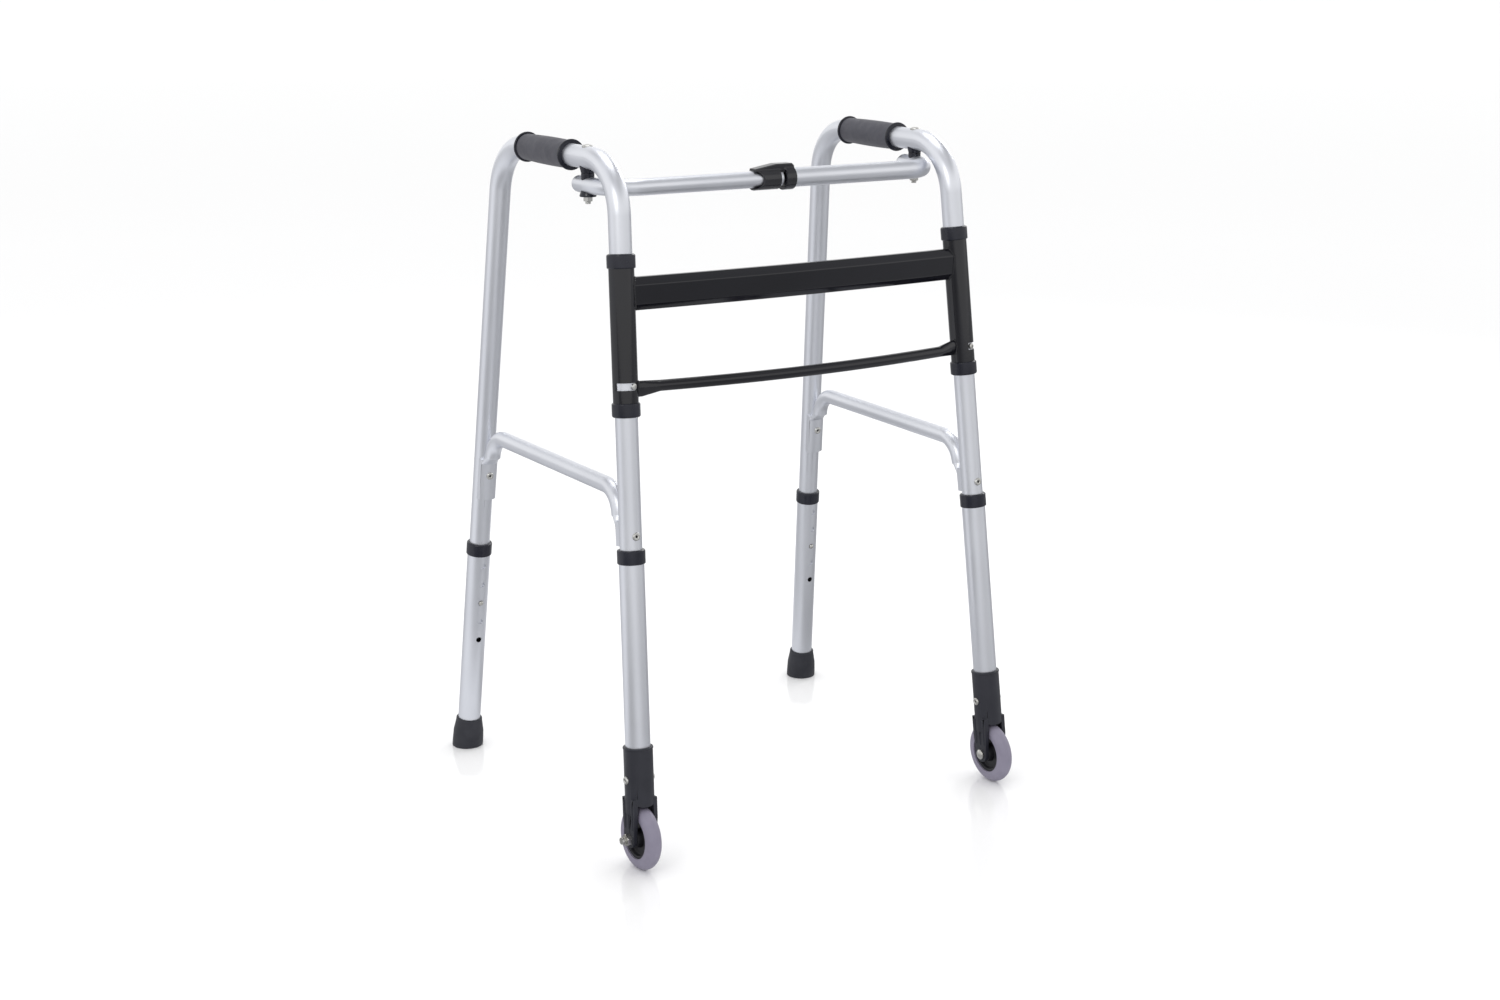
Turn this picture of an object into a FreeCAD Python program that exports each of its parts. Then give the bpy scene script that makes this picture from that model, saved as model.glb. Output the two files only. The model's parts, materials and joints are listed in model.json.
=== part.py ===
"""Folding walking frame with two front wheels.

Two A-shaped side frames turn in the sleeves of a cross frame.

Millimetres, +Z up, user standing at +Y, front wheels at -Y. The origin is on the floor, under the middle.
Left is the side at -X, as seen from in front of the wheels.
Each side frame is drawn upright in its own plane (x = 0, front-leg foot at the origin) and then set in place.
"""
import FreeCAD, Part
import math
import os

V = FreeCAD.Vector

# ---- overall size ----
FOOT_TRACK = 504.8           # between the two front-leg axes at floor level
HANDLE_HEIGHT = 788.1        # handle tube axis, up the side frame's plane
HANDLE_STRAIGHT = 163.4      # straight part of the handle, between its bends
FRONT_LEAN = 6.67            # degrees, legs lean towards each other
REAR_LEAN = 6.38
SPLAY = 2.28                 # degrees, each side frame leans inwards at the top
TOE_OUT = 1.13               # degrees, each side frame opens towards the user

# ---- tubes ----
LEG_OD = 25.4
LEG_WALL = 1.5
HANDLE_BEND = 63.5           # centreline radius
LOWER_WALL = 1.5
SLIDE_CLEARANCE = 0.1        # radial, lower leg on upper leg
LEFT_ARM_OD = 19.0
RIGHT_ARM_OD = 22.2
BRACE_OD = 19.0
THIN_WALL = 1.2

# ---- cross frame ----
SLEEVE_DROP = 97.0           # handle axis down to the top of the sleeve's cap
SLEEVE_LONG = 177.8          # over both caps
SLEEVE_CLEARANCE = 0.4       # radial, sleeve clear of the leg between its caps
SLEEVE_WALL = 1.2
BUSH_WALL = 1.7
BUSH_HEIGHT = 16.0
BUSH_LIP = 3.5
BUSH_CLEARANCE = 0.1         # radial, leg turning in the bush
BUSH_ROUND = 2.2             # radius of the rounded edge
CROSSBAR_DROP = 44.0         # sleeve top down to the crossbar's middle
CROSSBAR_TALL = 37.0
CROSSBAR_DEEP = 18.0
CROSSBAR_FLAT = 21.0         # height of the flat front strip
CROSSBAR_EDGE = 6.0          # depth of the top and bottom edges
CROSSBAR_BOW = 7.5
CROSSBAR_INNER = 0.4         # each strip of the hollow is shorter at both ends by this share of the wall
LOWER_BAR_RISE = 32.1        # sleeve bottom up to the lower bar's middle
LOWER_BAR_OD = 12.7
LOWER_BAR_BOW = 22.0
LOWER_BAR_FLARE = 18.0       # height of the pressed ends
LOWER_BAR_PRESSED = 8.0      # thickness of the pressed ends
LOWER_BAR_SQUARE = 5.0       # straight part of a pressed end, beside the sleeve
LOWER_BAR_TAPER = 26.0       # sleeve to where the bar is round
LOWER_BAR_SHIFT = 2.0        # pressed ends off centre, down at the left and up at the right

# ---- fold stops ----
FOLD_LIMIT = 75.0            # degrees
STOP_BEARING = 15.0          # degrees from straight ahead towards +X
STOP_RISE = 34.1             # sleeve bottom up to the stop screw
STOP_HEAD_D = 7.0
STOP_HEAD_PROUD = 1.5
STOP_RECESS_D = 3.2
STOP_RECESS_DEEP = 1.2
STOP_SHANK_D = 4.0
STOP_SHANK_LONG = 6.0
STOP_HEAD_DOME = 1.0         # height of the domed part
STOP_HEAD_SUNK = 1.0         # head hollowed this far to seat on the leg
STOP_PLAY = 0.6              # slot wider than the screw head, each side

# ---- side brace ----
BRACE_DROP = 85.0            # sleeve bottom down to the brace's axis
BRACE_BEND = 32.0
BRACE_GAP = 0.4              # tube to leg, before the end is pressed
SADDLE_WIDTH = 22.0
SADDLE_THICK = 5.2
SADDLE_TAPER = 11.0
SADDLE_OVERLAP = 6.0         # pressed saddle reaches this far up into its taper
SADDLE_BITE = 0.8            # taper drawn this far into the leg, then hollowed to fit it
TAPER_SUNK = 2.0             # taper starts this far inside the round tube
TAPER_FIT = 0.25             # and this much smaller than it
BRACE_STRAIGHT = 0.5         # round tube carried past each bend
BRACE_FRONT_END = 58.3       # brace axis down to each end
BRACE_REAR_END = 83.8
FRONT_RIVET_DROP = 46.0      # brace axis down to each rivet
REAR_RIVET_DROP = 52.0
RIVET_D = 5.0
RIVET_BORE_D = 2.4
RIVET_HEAD_D = 9.6
RIVET_ROLL = 1.9             # radius of the rolled edge

# ---- lower legs and height adjustment ----
FRONT_COLLAR_GAP = 3.1       # brace end down to the collar, with the leg at its shortest
REAR_COLLAR_SPARE = 10.8     # the same gap, with the rear leg at its shortest
COLLAR_WALL = 1.7
COLLAR_HEIGHT = 16.3
COLLAR_LIP = 3.0
COLLAR_ROUND = 1.6
CAP_CHAMFER = 0.9            # at the skirt of a collar or bush
HOLE_PITCH = 25.4
HOLES_ABOVE = 2              # spare holes each side of the one in use
HOLES_BELOW = 2
HOLE_DROP = 11.9             # collar down to the first hole
HOLE_D = 7.0
BUTTON_CLEARANCE = 0.3
BUTTON_PROUD = 2.6
BUTTON_DOME = 2.0
BUTTON_FLANGE_D = 10.4
BUTTON_FLANGE_THICK = 1.3
BUTTON_FLANGE_GAP = 0.4
LEG_BELOW_BUTTON = 37.0      # upper leg reaches this far past its button
SPRING_THICK = 0.8
SPRING_WIDTH = 7.0
SPRING_RISE = 46.0
SPRING_FOOT = 7.0
SPRING_CREST = 3.2           # solid at the top of the V
SPRING_WALL_GAP = 0.3

# ---- rubber tips ----
TIP_HEIGHT = 40.0
TIP_WALL = 2.5
TIP_SPREAD = 3.1             # radial, sole wider than the socket
TIP_FLOOR = 10.0
TIP_SOLE_TALL = 6.0
TIP_CUFF = 4.0               # straight part at the top
TIP_WAIST_SPREAD = 2.6       # radial, halfway between sole and cuff
TIP_CHAMFER = 1.2
TIP_GROOVES = 2
TIP_GROOVE_EDGE = 5.0        # from the sole's edge to the first groove
TIP_GROOVE_PITCH = 6.0
TIP_GROOVE_DEEP = 1.5
TIP_GROOVE_WIDE = 2.0

# ---- wheels and forks ----
WHEEL_D = 75.0
TYRE_WIDTH = 18.0
HUB_RIM_D = 48.0
HUB_RIM_WIDTH = 14.0
HUB_RIM_THICK = 3.0
HUB_BOSS_D = 20.0
HUB_BOSS_WIDTH = 20.0
HUB_WEB = 5.0
HUB_DRAFT = 1.5              # slope between the web and its boss or rim
AXLE_D = 8.0
AXLE_CLEARANCE = 0.1
WHEEL_SIDE_GAP = 0.5
WHEEL_ARCH_GAP = 4.5
FORK_RISE = 106.0            # axle up to the top of the socket
FORK_WALL = 2.5
FORK_FLOOR = 6.0             # solid above the wheel arch, under the leg
FORK_RIM_TALL = 2.5
FORK_RIM_PROUD = 0.6
FORK_SKIRT = 13.0            # socket carried down past the top of the arch
FORK_ARM_THICK = 5.0
FORK_ARM_WIDE = 26.0
FORK_ARM_SHOULDER = 24.0     # above the axle, where the arms reach their full width
FORK_FOOT_R = 10.0
FORK_CHAMFER = 0.8
FORK_RIB_PROUD = 0.9
FORK_RIB_WIDE = 2.4
FORK_RIBS = 3
FORK_RIVET_RISE = 68.5       # axle up to the rivet
AXLE_HEAD_D = 12.5
AXLE_HEAD_TALL = 4.5
AXLE_HEAD_DOME = 2.7
NUT_FLATS = 13.0
NUT_TALL = 5.5
NUT_CHAMFER = 1.0            # height of the sloped corners of every nut
AXLE_TAIL = 5.0

# ---- grips ----
GRIP_LONG = 110.3
GRIP_END_GAP = 5.0           # grip to the start of the rear bend
GRIP_FLANGE_WALL = 4.8
GRIP_REAR_WALL = 2.4
GRIP_BELLY_WALL = 3.5
GRIP_FRONT_WALL = 3.0
GRIP_FLANGE_THICK = 3.2
GRIP_BELLY_PLACE = 44.0      # from the front end to the thickest place
GRIP_CHAMFER = 0.8

# ---- top arms and their pivots ----
PIVOT_PLACE = 11.3           # behind the handle's front bend
ARM_GAP = 6.7                # between handle and right arm
ARM_BEND = 45.0
ARM_TAIL = 19.0              # straight tail behind the pivot, before its domed end
LEFT_ARM_REACH = 1.0         # x of each arm's free end
RIGHT_ARM_REACH = 7.0
PIVOT_BOLT_D = 6.0
PIVOT_CLEARANCE = 0.1
PIVOT_HEAD_D = 12.0
PIVOT_HEAD_TALL = 2.0
PIVOT_HEAD_DOME = 1.6
PIVOT_HEAD_SUNK = 2.0        # head hollowed this far to seat on the handle
PIVOT_NUT_FLATS = 10.0
PIVOT_NUT_TALL = 5.0
PIVOT_TAIL = 3.0
CRADLE_D = 19.0
CRADLE_NARROW_D = 15.0
CRADLE_GAP = 0.1             # between the handle's cradle and the arm's
CRADLE_WALL = 3.0
CRADLE_RIM = 1.5             # full-width rim of the lower cradle
CRADLE_HUG = 4.5             # how far a cradle wraps up its tube

# ---- snap clip between the arms ----
CLIP_WALL = 2.6
CLIP_CLEARANCE = 0.3
CLIP_JAW_START = -36.5
CLIP_JAW_END = -3.6
CLIP_RING_START = 3.0
CLIP_RING_END = 16.2
CLIP_MOUTH = 12.5
CLIP_LIP_R = 9.5             # hollow of the jaw's flared left lip
CLIP_RIDGE_WIDTH = 13.0
CLIP_RIDGE_TALL = 6.0
CLIP_RIDGE_TOP = -8.0        # where the ridge reaches its full height
CLIP_STOP = 1.5              # wall across the ring, against the right arm's end

# ---- worked out from the sizes above ----
LEG_R = LEG_OD / 2
LOWER_BORE_R = LEG_R + SLIDE_CLEARANCE
LOWER_R = LOWER_BORE_R + LOWER_WALL
COLLAR_R = LOWER_R + COLLAR_WALL
SLEEVE_BORE_R = LEG_R + SLEEVE_CLEARANCE
SLEEVE_R = SLEEVE_BORE_R + SLEEVE_WALL
BUSH_R = SLEEVE_R + BUSH_WALL
BUSH_BORE_R = LEG_R + BUSH_CLEARANCE
SLEEVE_TOP = HANDLE_HEIGHT - SLEEVE_DROP
SLEEVE_BOTTOM = SLEEVE_TOP - SLEEVE_LONG
CROSSBAR_HEIGHT = SLEEVE_TOP - CROSSBAR_DROP
LOWER_BAR_HEIGHT = SLEEVE_BOTTOM + LOWER_BAR_RISE
STOP_HEIGHT = SLEEVE_BOTTOM + STOP_RISE
BRACE_HEIGHT = SLEEVE_BOTTOM - BRACE_DROP
BRACE_OFFSET = LEG_R + BRACE_GAP + BRACE_OD / 2
FRONT_COLLAR_TOP = BRACE_HEIGHT - BRACE_FRONT_END - FRONT_COLLAR_GAP
REAR_COLLAR_TOP = BRACE_HEIGHT - BRACE_REAR_END - REAR_COLLAR_SPARE - HOLES_ABOVE * HOLE_PITCH
BUTTON_BELOW_COLLAR = COLLAR_HEIGHT + HOLE_DROP + HOLES_ABOVE * HOLE_PITCH
FRONT_BUTTON_HEIGHT = FRONT_COLLAR_TOP - BUTTON_BELOW_COLLAR
REAR_BUTTON_HEIGHT = REAR_COLLAR_TOP - BUTTON_BELOW_COLLAR
BUTTON_R = HOLE_D / 2 - BUTTON_CLEARANCE
FLANGE_OUTER = math.sqrt((LEG_R - LEG_WALL) ** 2 - (BUTTON_FLANGE_D / 2) ** 2) - BUTTON_FLANGE_GAP
BUTTON_FLANGE_AT = FLANGE_OUTER - BUTTON_FLANGE_THICK
TREAD_R = TYRE_WIDTH / 2
AXLE_R = AXLE_D / 2
SPLAY_COS = math.cos(math.radians(SPLAY))
WHEEL_HEIGHT = ((WHEEL_D / 2 - TREAD_R) * SPLAY_COS + TREAD_R) / SPLAY_COS
WHEEL_ARCH_R = WHEEL_D / 2 + WHEEL_ARCH_GAP
FORK_SLOT = HUB_BOSS_WIDTH / 2 + WHEEL_SIDE_GAP
FORK_HALF = FORK_SLOT + FORK_ARM_THICK
FORK_R = LOWER_R + FORK_WALL
FORK_TOP = WHEEL_HEIGHT + FORK_RISE
FORK_SOCKET_FLOOR = WHEEL_HEIGHT + WHEEL_ARCH_R + FORK_FLOOR
FORK_RIVET_HEIGHT = WHEEL_HEIGHT + FORK_RIVET_RISE
TIP_TOP_R = LOWER_R + TIP_WALL
TIP_BASE_R = TIP_TOP_R + TIP_SPREAD
FRONT_LEAN_TAN = math.tan(math.radians(FRONT_LEAN))
REAR_LEAN_TAN = math.tan(math.radians(REAR_LEAN))
FRONT_BEND_REACH = HANDLE_BEND * math.tan(math.radians(90 - FRONT_LEAN) / 2)
REAR_BEND_REACH = HANDLE_BEND * math.tan(math.radians(90 - REAR_LEAN) / 2)
STRAIGHT_START = HANDLE_HEIGHT * FRONT_LEAN_TAN + FRONT_BEND_REACH
STRAIGHT_END = STRAIGHT_START + HANDLE_STRAIGHT
FOOT_DEPTH = STRAIGHT_END + REAR_BEND_REACH + HANDLE_HEIGHT * REAR_LEAN_TAN
GRIP_START = STRAIGHT_END - GRIP_END_GAP - GRIP_LONG
ORIGIN_Y = -(FOOT_DEPTH + TIP_BASE_R + WHEEL_HEIGHT * FRONT_LEAN_TAN - WHEEL_D / 2) / 2
ARM_HEIGHT = HANDLE_HEIGHT * SPLAY_COS - LEG_R - ARM_GAP - RIGHT_ARM_OD / 2

SIDES = {"left": -1, "right": 1}
FORE = -1                    # towards the front wheels
AFT = 1
UP = V(0, 0, 1)
BUTTON_HEIGHTS = {FORE: FRONT_BUTTON_HEIGHT, AFT: REAR_BUTTON_HEIGHT}
RIVET_HEIGHTS = {FORE: BRACE_HEIGHT - FRONT_RIVET_DROP, AFT: BRACE_HEIGHT - REAR_RIVET_DROP}
BRACE_ENDS = {FORE: BRACE_HEIGHT - BRACE_FRONT_END, AFT: BRACE_HEIGHT - BRACE_REAR_END}
PAST = 3.0                   # how far a cutting shape runs past what it cuts
ROUND_MIDDLE = 1 - math.sqrt(0.5)    # share of a round edge's radius that is cut off halfway along it
ACROSS = V(1, 0, 0)          # square to the side frame's own plane
os.makedirs("parts", exist_ok=True)


# ---- placing and naming ----
def export(name, shape):
    """Write one sub-part, after checking that its solids are sound."""
    if not shape.isValid() or not shape.Solids:
        raise ValueError(name + " is not a sound solid")
    shape.exportStep("parts/" + name + ".step")
    print(name, len(shape.Solids), "solid(s)", round(shape.Volume / 1000, 2), "cm3")


def side_placement(side):
    """From a side frame's own upright plane to where it stands."""
    inward = FreeCAD.Rotation(V(0, 1, 0), -side * SPLAY)
    outward = FreeCAD.Rotation(UP, -side * TOE_OUT)
    return FreeCAD.Placement(V(side * FOOT_TRACK / 2, ORIGIN_Y, 0), outward.multiply(inward))


def placed(shape, side):
    """A copy of an upright shape, standing where its side frame stands."""
    return shape.transformed(side_placement(side).toMatrix())


def at_side(side, point):
    return side_placement(side).multVec(point)


# ---- leg axes in the side frame's own plane ----
def leg_point(end, height):
    if end == FORE:
        return V(0, height * FRONT_LEAN_TAN, height)
    return V(0, FOOT_DEPTH - height * REAR_LEAN_TAN, height)


def leg_up(end):
    """Unit vector up the leg."""
    return (leg_point(end, 1.0) - leg_point(end, 0.0)).normalize()


def leg_inward(end):
    """Unit vector square to the leg, towards the other leg of the same side frame."""
    up = leg_up(end)
    return V(0, -end * up.z, end * up.y)


# ---- small building blocks ----
def rod(start, finish, radius):
    """Solid cylinder from one point to another."""
    return Part.makeCylinder(radius, (finish - start).Length, start, finish - start)


def pipe(start, finish, outer, inner):
    return rod(start, finish, outer).cut(rod(start, finish, inner))


def cross_rod(middle, axis, half, radius):
    """Cylinder centred on a point."""
    return rod(middle - axis * half, middle + axis * half, radius)


def leg_rod(end, low, high, radius):
    """Cylinder on a leg axis between two heights."""
    return rod(leg_point(end, low), leg_point(end, high), radius)


def leg_pipe(end, low, high, outer, inner):
    return leg_rod(end, low, high, outer).cut(leg_rod(end, low, high, inner))


def flat_face(points):
    return Part.Face(Part.makePolygon(points + points[:1]))


def set_along(shape, origin, axis):
    """Turn a shape drawn along +Z to lie along an axis from an origin."""
    spin = FreeCAD.Rotation(UP, axis)
    return shape.transformed(FreeCAD.Placement(origin, spin).toMatrix())


def turned(profile, origin, axis):
    """Solid of revolution. The profile is a list of (radius, distance along the axis)."""
    face = flat_face([V(r, 0, z) for r, z in profile])
    return set_along(Part.Solid(face.revolve(V(0, 0, 0), UP, 360)), origin, axis)


def bend_parts(before, corner, after, bend):
    """Tangent points, centre, axis and turn of a round bend at a corner."""
    arriving = (corner - before).normalize()
    leaving = (after - corner).normalize()
    turn = arriving.getAngle(leaving)
    reach = bend * math.tan(turn / 2)
    enter = corner - arriving * reach
    leave = corner + leaving * reach
    axis = arriving.cross(leaving).normalize()
    centre = enter + axis.cross(arriving) * bend
    return enter, leave, centre, axis, math.degrees(turn)


def bent_rod(points, bends, radius):
    """Solid round bar along straight runs and round bends, one bend for each inner point."""
    pieces = []
    start = points[0]
    for before, corner, after, bend in zip(points, points[1:], points[2:], bends):
        enter, leave, centre, axis, turn = bend_parts(before, corner, after, bend)
        pieces.append(rod(start, enter, radius))
        circle = Part.Wire(Part.Circle(enter, enter - start, radius).toShape())
        pieces.append(Part.Face(circle).revolve(centre, axis, turn))
        start = leave
    pieces.append(rod(start, points[-1], radius))
    return pieces[0].multiFuse(pieces[1:]).removeSplitter()


def hexagon_nut(start, axis, flats, height, bore_r):
    """Hexagon nut whose near face is at start, with sloped corners at its far face."""
    corner = flats / math.sqrt(3)
    angles = [n * math.pi / 3 for n in range(6)]
    points = [V(corner * math.cos(angle), corner * math.sin(angle), 0) for angle in angles]
    prism = set_along(flat_face(points).extrude(UP * height), start, axis)
    slope = [(corner, height - NUT_CHAMFER), (flats / 2, height)]
    rounded = turned([(0, 0), (corner, 0)] + slope + [(0, height)], start, axis)
    return prism.common(rounded).cut(cross_rod(start, axis, height + PAST, bore_r))


def domed_head(start, axis, diameter, height, dome):
    """Round head whose flat side is at start: a rim under a dome of the given height."""
    r = diameter / 2
    sphere_r = (r * r + dome * dome) / (2 * dome)
    head = rod(start, start + axis * height, r)
    top = Part.makeSphere(sphere_r, start + axis * (height - sphere_r))
    return head.common(top.fuse(rod(start, start + axis * (height - dome), r + PAST)))


def ring_head(centre, axis):
    """Rolled head of a tubular rivet: a ring of round section, bedded in the surface that it holds."""
    return Part.makeTorus(RIVET_HEAD_D / 2 - RIVET_ROLL, RIVET_ROLL, centre, axis)


def cap_section(seat_r, bore_r, outer_r, tall, lip, edge):
    """Half-section of a cap over a tube's end: a skirt round the tube, then a lip over its end."""
    corner = [(outer_r, tall - edge), (outer_r - edge * ROUND_MIDDLE, tall - edge * ROUND_MIDDLE),
              (outer_r - edge, tall)]
    skirt = [(seat_r, 0), (outer_r - CAP_CHAMFER, 0), (outer_r, CAP_CHAMFER)]
    return skirt + corner + [(bore_r, tall), (bore_r, tall - lip), (seat_r, tall - lip)]


# ---- side tube: front leg, handle and rear leg in one ----
def side_path():
    """Points of the side tube's centreline, from the foot of the front leg to that of the rear leg."""
    return [leg_point(FORE, FRONT_BUTTON_HEIGHT - LEG_BELOW_BUTTON), leg_point(FORE, HANDLE_HEIGHT),
            leg_point(AFT, HANDLE_HEIGHT), leg_point(AFT, REAR_BUTTON_HEIGHT - LEG_BELOW_BUTTON)]


def side_bar(radius):
    return bent_rod(side_path(), [HANDLE_BEND, HANDLE_BEND], radius)


def side_tube(side):
    """The hollow tube with the holes for its buttons, pivot bolt, stop screw and rivets."""
    tube = side_bar(LEG_R).cut(side_bar(LEG_R - LEG_WALL))
    for end in (FORE, AFT):
        inward = leg_inward(end)
        button = leg_point(end, BUTTON_HEIGHTS[end])
        tube = tube.cut(rod(button, button + inward * LEG_OD, HOLE_D / 2))
        tube = tube.cut(cross_rod(leg_point(end, RIVET_HEIGHTS[end]), inward, LEG_OD, RIVET_D / 2))
    tube = placed(tube, side)
    tube = tube.cut(cross_rod(pivot_point(side), UP, LEG_OD, PIVOT_BOLT_D / 2))
    middle, facing = stop_line(side)
    return tube.cut(rod(middle, middle + facing * LEG_OD, STOP_SHANK_D / 2))


# ---- side brace and its rivets ----
def brace_corner(end):
    """Where the brace's level axis meets the line of its end beside a leg."""
    foot = leg_point(end, 0) + leg_inward(end) * BRACE_OFFSET
    up = leg_up(end)
    return foot + up * ((BRACE_HEIGHT - foot.z) / up.z)


def brace_leave(end):
    """Where the brace's bend ends and its pressed end begins."""
    corner = brace_corner(end)
    return bend_parts(brace_corner(-end), corner, corner - leg_up(end), BRACE_BEND)[1]


def height_on_leg(end, point):
    """Height on the leg axis, level with a point beside the leg."""
    up = leg_up(end)
    base = leg_point(end, 0)
    return (point - base).dot(up) * up.z


def saddle(end, high):
    """The pressed end of the brace, wrapped round part of the leg."""
    low = BRACE_ENDS[end]
    outer = LEG_R + SADDLE_THICK
    up, inward = leg_up(end), leg_inward(end)
    half = SADDLE_WIDTH / 2
    base = leg_point(end, low) - up * PAST
    corners = [base + V(x, 0, 0) + inward * d for x, d in
               ((-half, 0), (half, 0), (half, outer + PAST), (-half, outer + PAST))]
    block = flat_face(corners).extrude(up * (high - low + 3 * PAST))
    return leg_pipe(end, low, high, outer, LEG_R).common(block)


def oval(centre, across, normal, half_wide, half_thick):
    """Closed oval whose long side lies along `across`."""
    turn = FreeCAD.Rotation(across, normal.cross(across), normal, "XYZ")
    ring = Part.Ellipse(V(0, 0, 0), half_wide, half_thick).toShape()
    return Part.Wire(ring.transformed(FreeCAD.Placement(centre, turn).toMatrix()))


def brace_taper(end):
    """Where the round tube is pressed from a circle to a flat oval against the leg."""
    up, inward = leg_up(end), leg_inward(end)
    leave = brace_leave(end)
    r = BRACE_OD / 2 - TAPER_FIT
    middle = LEG_R + SADDLE_THICK / 2 - SADDLE_BITE
    finish = leave - up * SADDLE_TAPER - inward * (BRACE_OFFSET - middle)
    round_end = oval(leave + up * TAPER_SUNK, ACROSS, up, r, r)
    flat_end = oval(finish, ACROSS, up, SADDLE_WIDTH / 2 - TAPER_FIT, (SADDLE_THICK + SADDLE_BITE) / 2)
    return Part.makeLoft([round_end, flat_end], True), height_on_leg(end, finish)


def side_brace():
    """Tube bent down at both ends, pressed flat and wrapped round the inner sides of the legs."""
    path = [brace_leave(FORE) - leg_up(FORE) * BRACE_STRAIGHT, brace_corner(FORE),
            brace_corner(AFT), brace_leave(AFT) - leg_up(AFT) * BRACE_STRAIGHT]
    brace = bent_rod(path, [BRACE_BEND, BRACE_BEND], BRACE_OD / 2)
    for end in (FORE, AFT):
        taper, finish = brace_taper(end)
        brace = brace.fuse(taper).fuse(saddle(end, finish + SADDLE_OVERLAP))
    brace = brace.cut(bent_rod(path, [BRACE_BEND, BRACE_BEND], BRACE_OD / 2 - THIN_WALL))
    for end in (FORE, AFT):
        brace = brace.cut(leg_rod(end, BRACE_ENDS[end] - PAST, BRACE_HEIGHT + BRACE_OD, LEG_R))
        middle = leg_point(end, RIVET_HEIGHTS[end])
        brace = brace.cut(rod(middle, middle + leg_inward(end) * LEG_OD, RIVET_D / 2))
    return brace.removeSplitter()


def brace_rivet(end):
    """Tubular rivet through a pressed end of the brace and right through the leg."""
    height = RIVET_HEIGHTS[end]
    middle, inward = leg_point(end, height), leg_inward(end)
    rivet = rod(middle - inward * LEG_R, middle + inward * (LEG_R + SADDLE_THICK), RIVET_D / 2)
    for facing, surface in ((inward, LEG_R + SADDLE_THICK), (inward * -1, LEG_R)):
        under = leg_rod(end, height - LEG_OD, height + LEG_OD, surface)
        rivet = rivet.fuse(ring_head(middle + facing * surface, inward).cut(under))
    return rivet.cut(cross_rod(middle, inward, LEG_OD, RIVET_BORE_D / 2)).removeSplitter()


# ---- grip ----
def grip_flange():
    """Half-section of a grip's end flange."""
    r, thick = LEG_R + GRIP_FLANGE_WALL, GRIP_FLANGE_THICK
    return [(LEG_R, 0), (r - GRIP_CHAMFER, 0), (r, GRIP_CHAMFER), (r, thick - GRIP_CHAMFER),
            (r - GRIP_CHAMFER, thick), (LEG_R, thick)]


def grip():
    """Moulded grip with a flange at each end and a slight belly between them."""
    front, rear = GRIP_FLANGE_THICK, GRIP_LONG - GRIP_FLANGE_THICK
    walls = ((front, GRIP_FRONT_WALL), (GRIP_BELLY_PLACE, GRIP_BELLY_WALL), (rear, GRIP_REAR_WALL))
    curve = Part.BSplineCurve()
    curve.interpolate([V(LEG_R + wall, 0, z) for z, wall in walls])
    inside = Part.makePolygon([V(LEG_R + GRIP_REAR_WALL, 0, rear), V(LEG_R, 0, rear), V(LEG_R, 0, front),
                               V(LEG_R + GRIP_FRONT_WALL, 0, front)])
    section = Part.Face(Part.Wire([curve.toShape()] + inside.Edges))
    start, along = V(0, GRIP_START, HANDLE_HEIGHT), V(0, 1, 0)
    body = set_along(Part.Solid(section.revolve(V(0, 0, 0), UP, 360)), start, along)
    flanges = [turned(grip_flange(), start + along * z, along) for z in (0, rear)]
    return body.multiFuse(flanges)


# ---- lower legs ----
def lower_leg(end, bottom, collar_top):
    """Hollow lower leg that slides on the upper leg, with its row of holes."""
    tube = leg_pipe(end, bottom, collar_top - COLLAR_LIP, LOWER_R, LOWER_BORE_R)
    up, inward = leg_up(end), leg_inward(end)
    button = leg_point(end, BUTTON_HEIGHTS[end])
    for n in range(-HOLES_BELOW, HOLES_ABOVE + 1):
        middle = button + up * n * HOLE_PITCH
        tube = tube.cut(rod(middle, middle + inward * 2 * LOWER_R, HOLE_D / 2))
    return tube


def collar(end, top):
    """Collar over the mouth of a lower leg, with a lip that steadies the upper leg."""
    up = leg_up(end)
    tall = COLLAR_HEIGHT / up.z
    section = cap_section(LOWER_R, LOWER_BORE_R, COLLAR_R, tall, COLLAR_LIP / up.z, COLLAR_ROUND)
    return turned(section, leg_point(end, top) - up * tall, up)


def snap_button(end):
    """Flanged, domed button that locks a lower leg."""
    inward = leg_inward(end)
    back = leg_point(end, BUTTON_HEIGHTS[end]) + inward * BUTTON_FLANGE_AT
    flange = rod(back, back + inward * BUTTON_FLANGE_THICK, BUTTON_FLANGE_D / 2)
    tall = LOWER_R + BUTTON_PROUD - BUTTON_FLANGE_AT
    return flange.fuse(domed_head(back, inward, 2 * BUTTON_R, tall, BUTTON_DOME)).removeSplitter()


def button_spring(end):
    """V-shaped leaf spring inside the leg, behind the button."""
    half = SPRING_WIDTH / 2
    wall = SPRING_WALL_GAP - math.sqrt((LEG_R - LEG_WALL) ** 2 - half ** 2)
    front = BUTTON_FLANGE_AT
    thick = SPRING_THICK
    foot = SPRING_FOOT
    outline = [(front, -foot), (front, foot), (thick, SPRING_RISE), (-thick, SPRING_RISE), (wall, foot),
               (wall, -foot), (wall + thick, -foot), (wall + thick, foot), (0, SPRING_RISE - SPRING_CREST),
               (front - thick, foot), (front - thick, -foot)]
    origin, up, inward = leg_point(end, BUTTON_HEIGHTS[end]), leg_up(end), leg_inward(end)
    points = [origin + V(-half, 0, 0) + inward * d + up * h for d, h in outline]
    return flat_face(points).extrude(V(SPRING_WIDTH, 0, 0))


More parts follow.
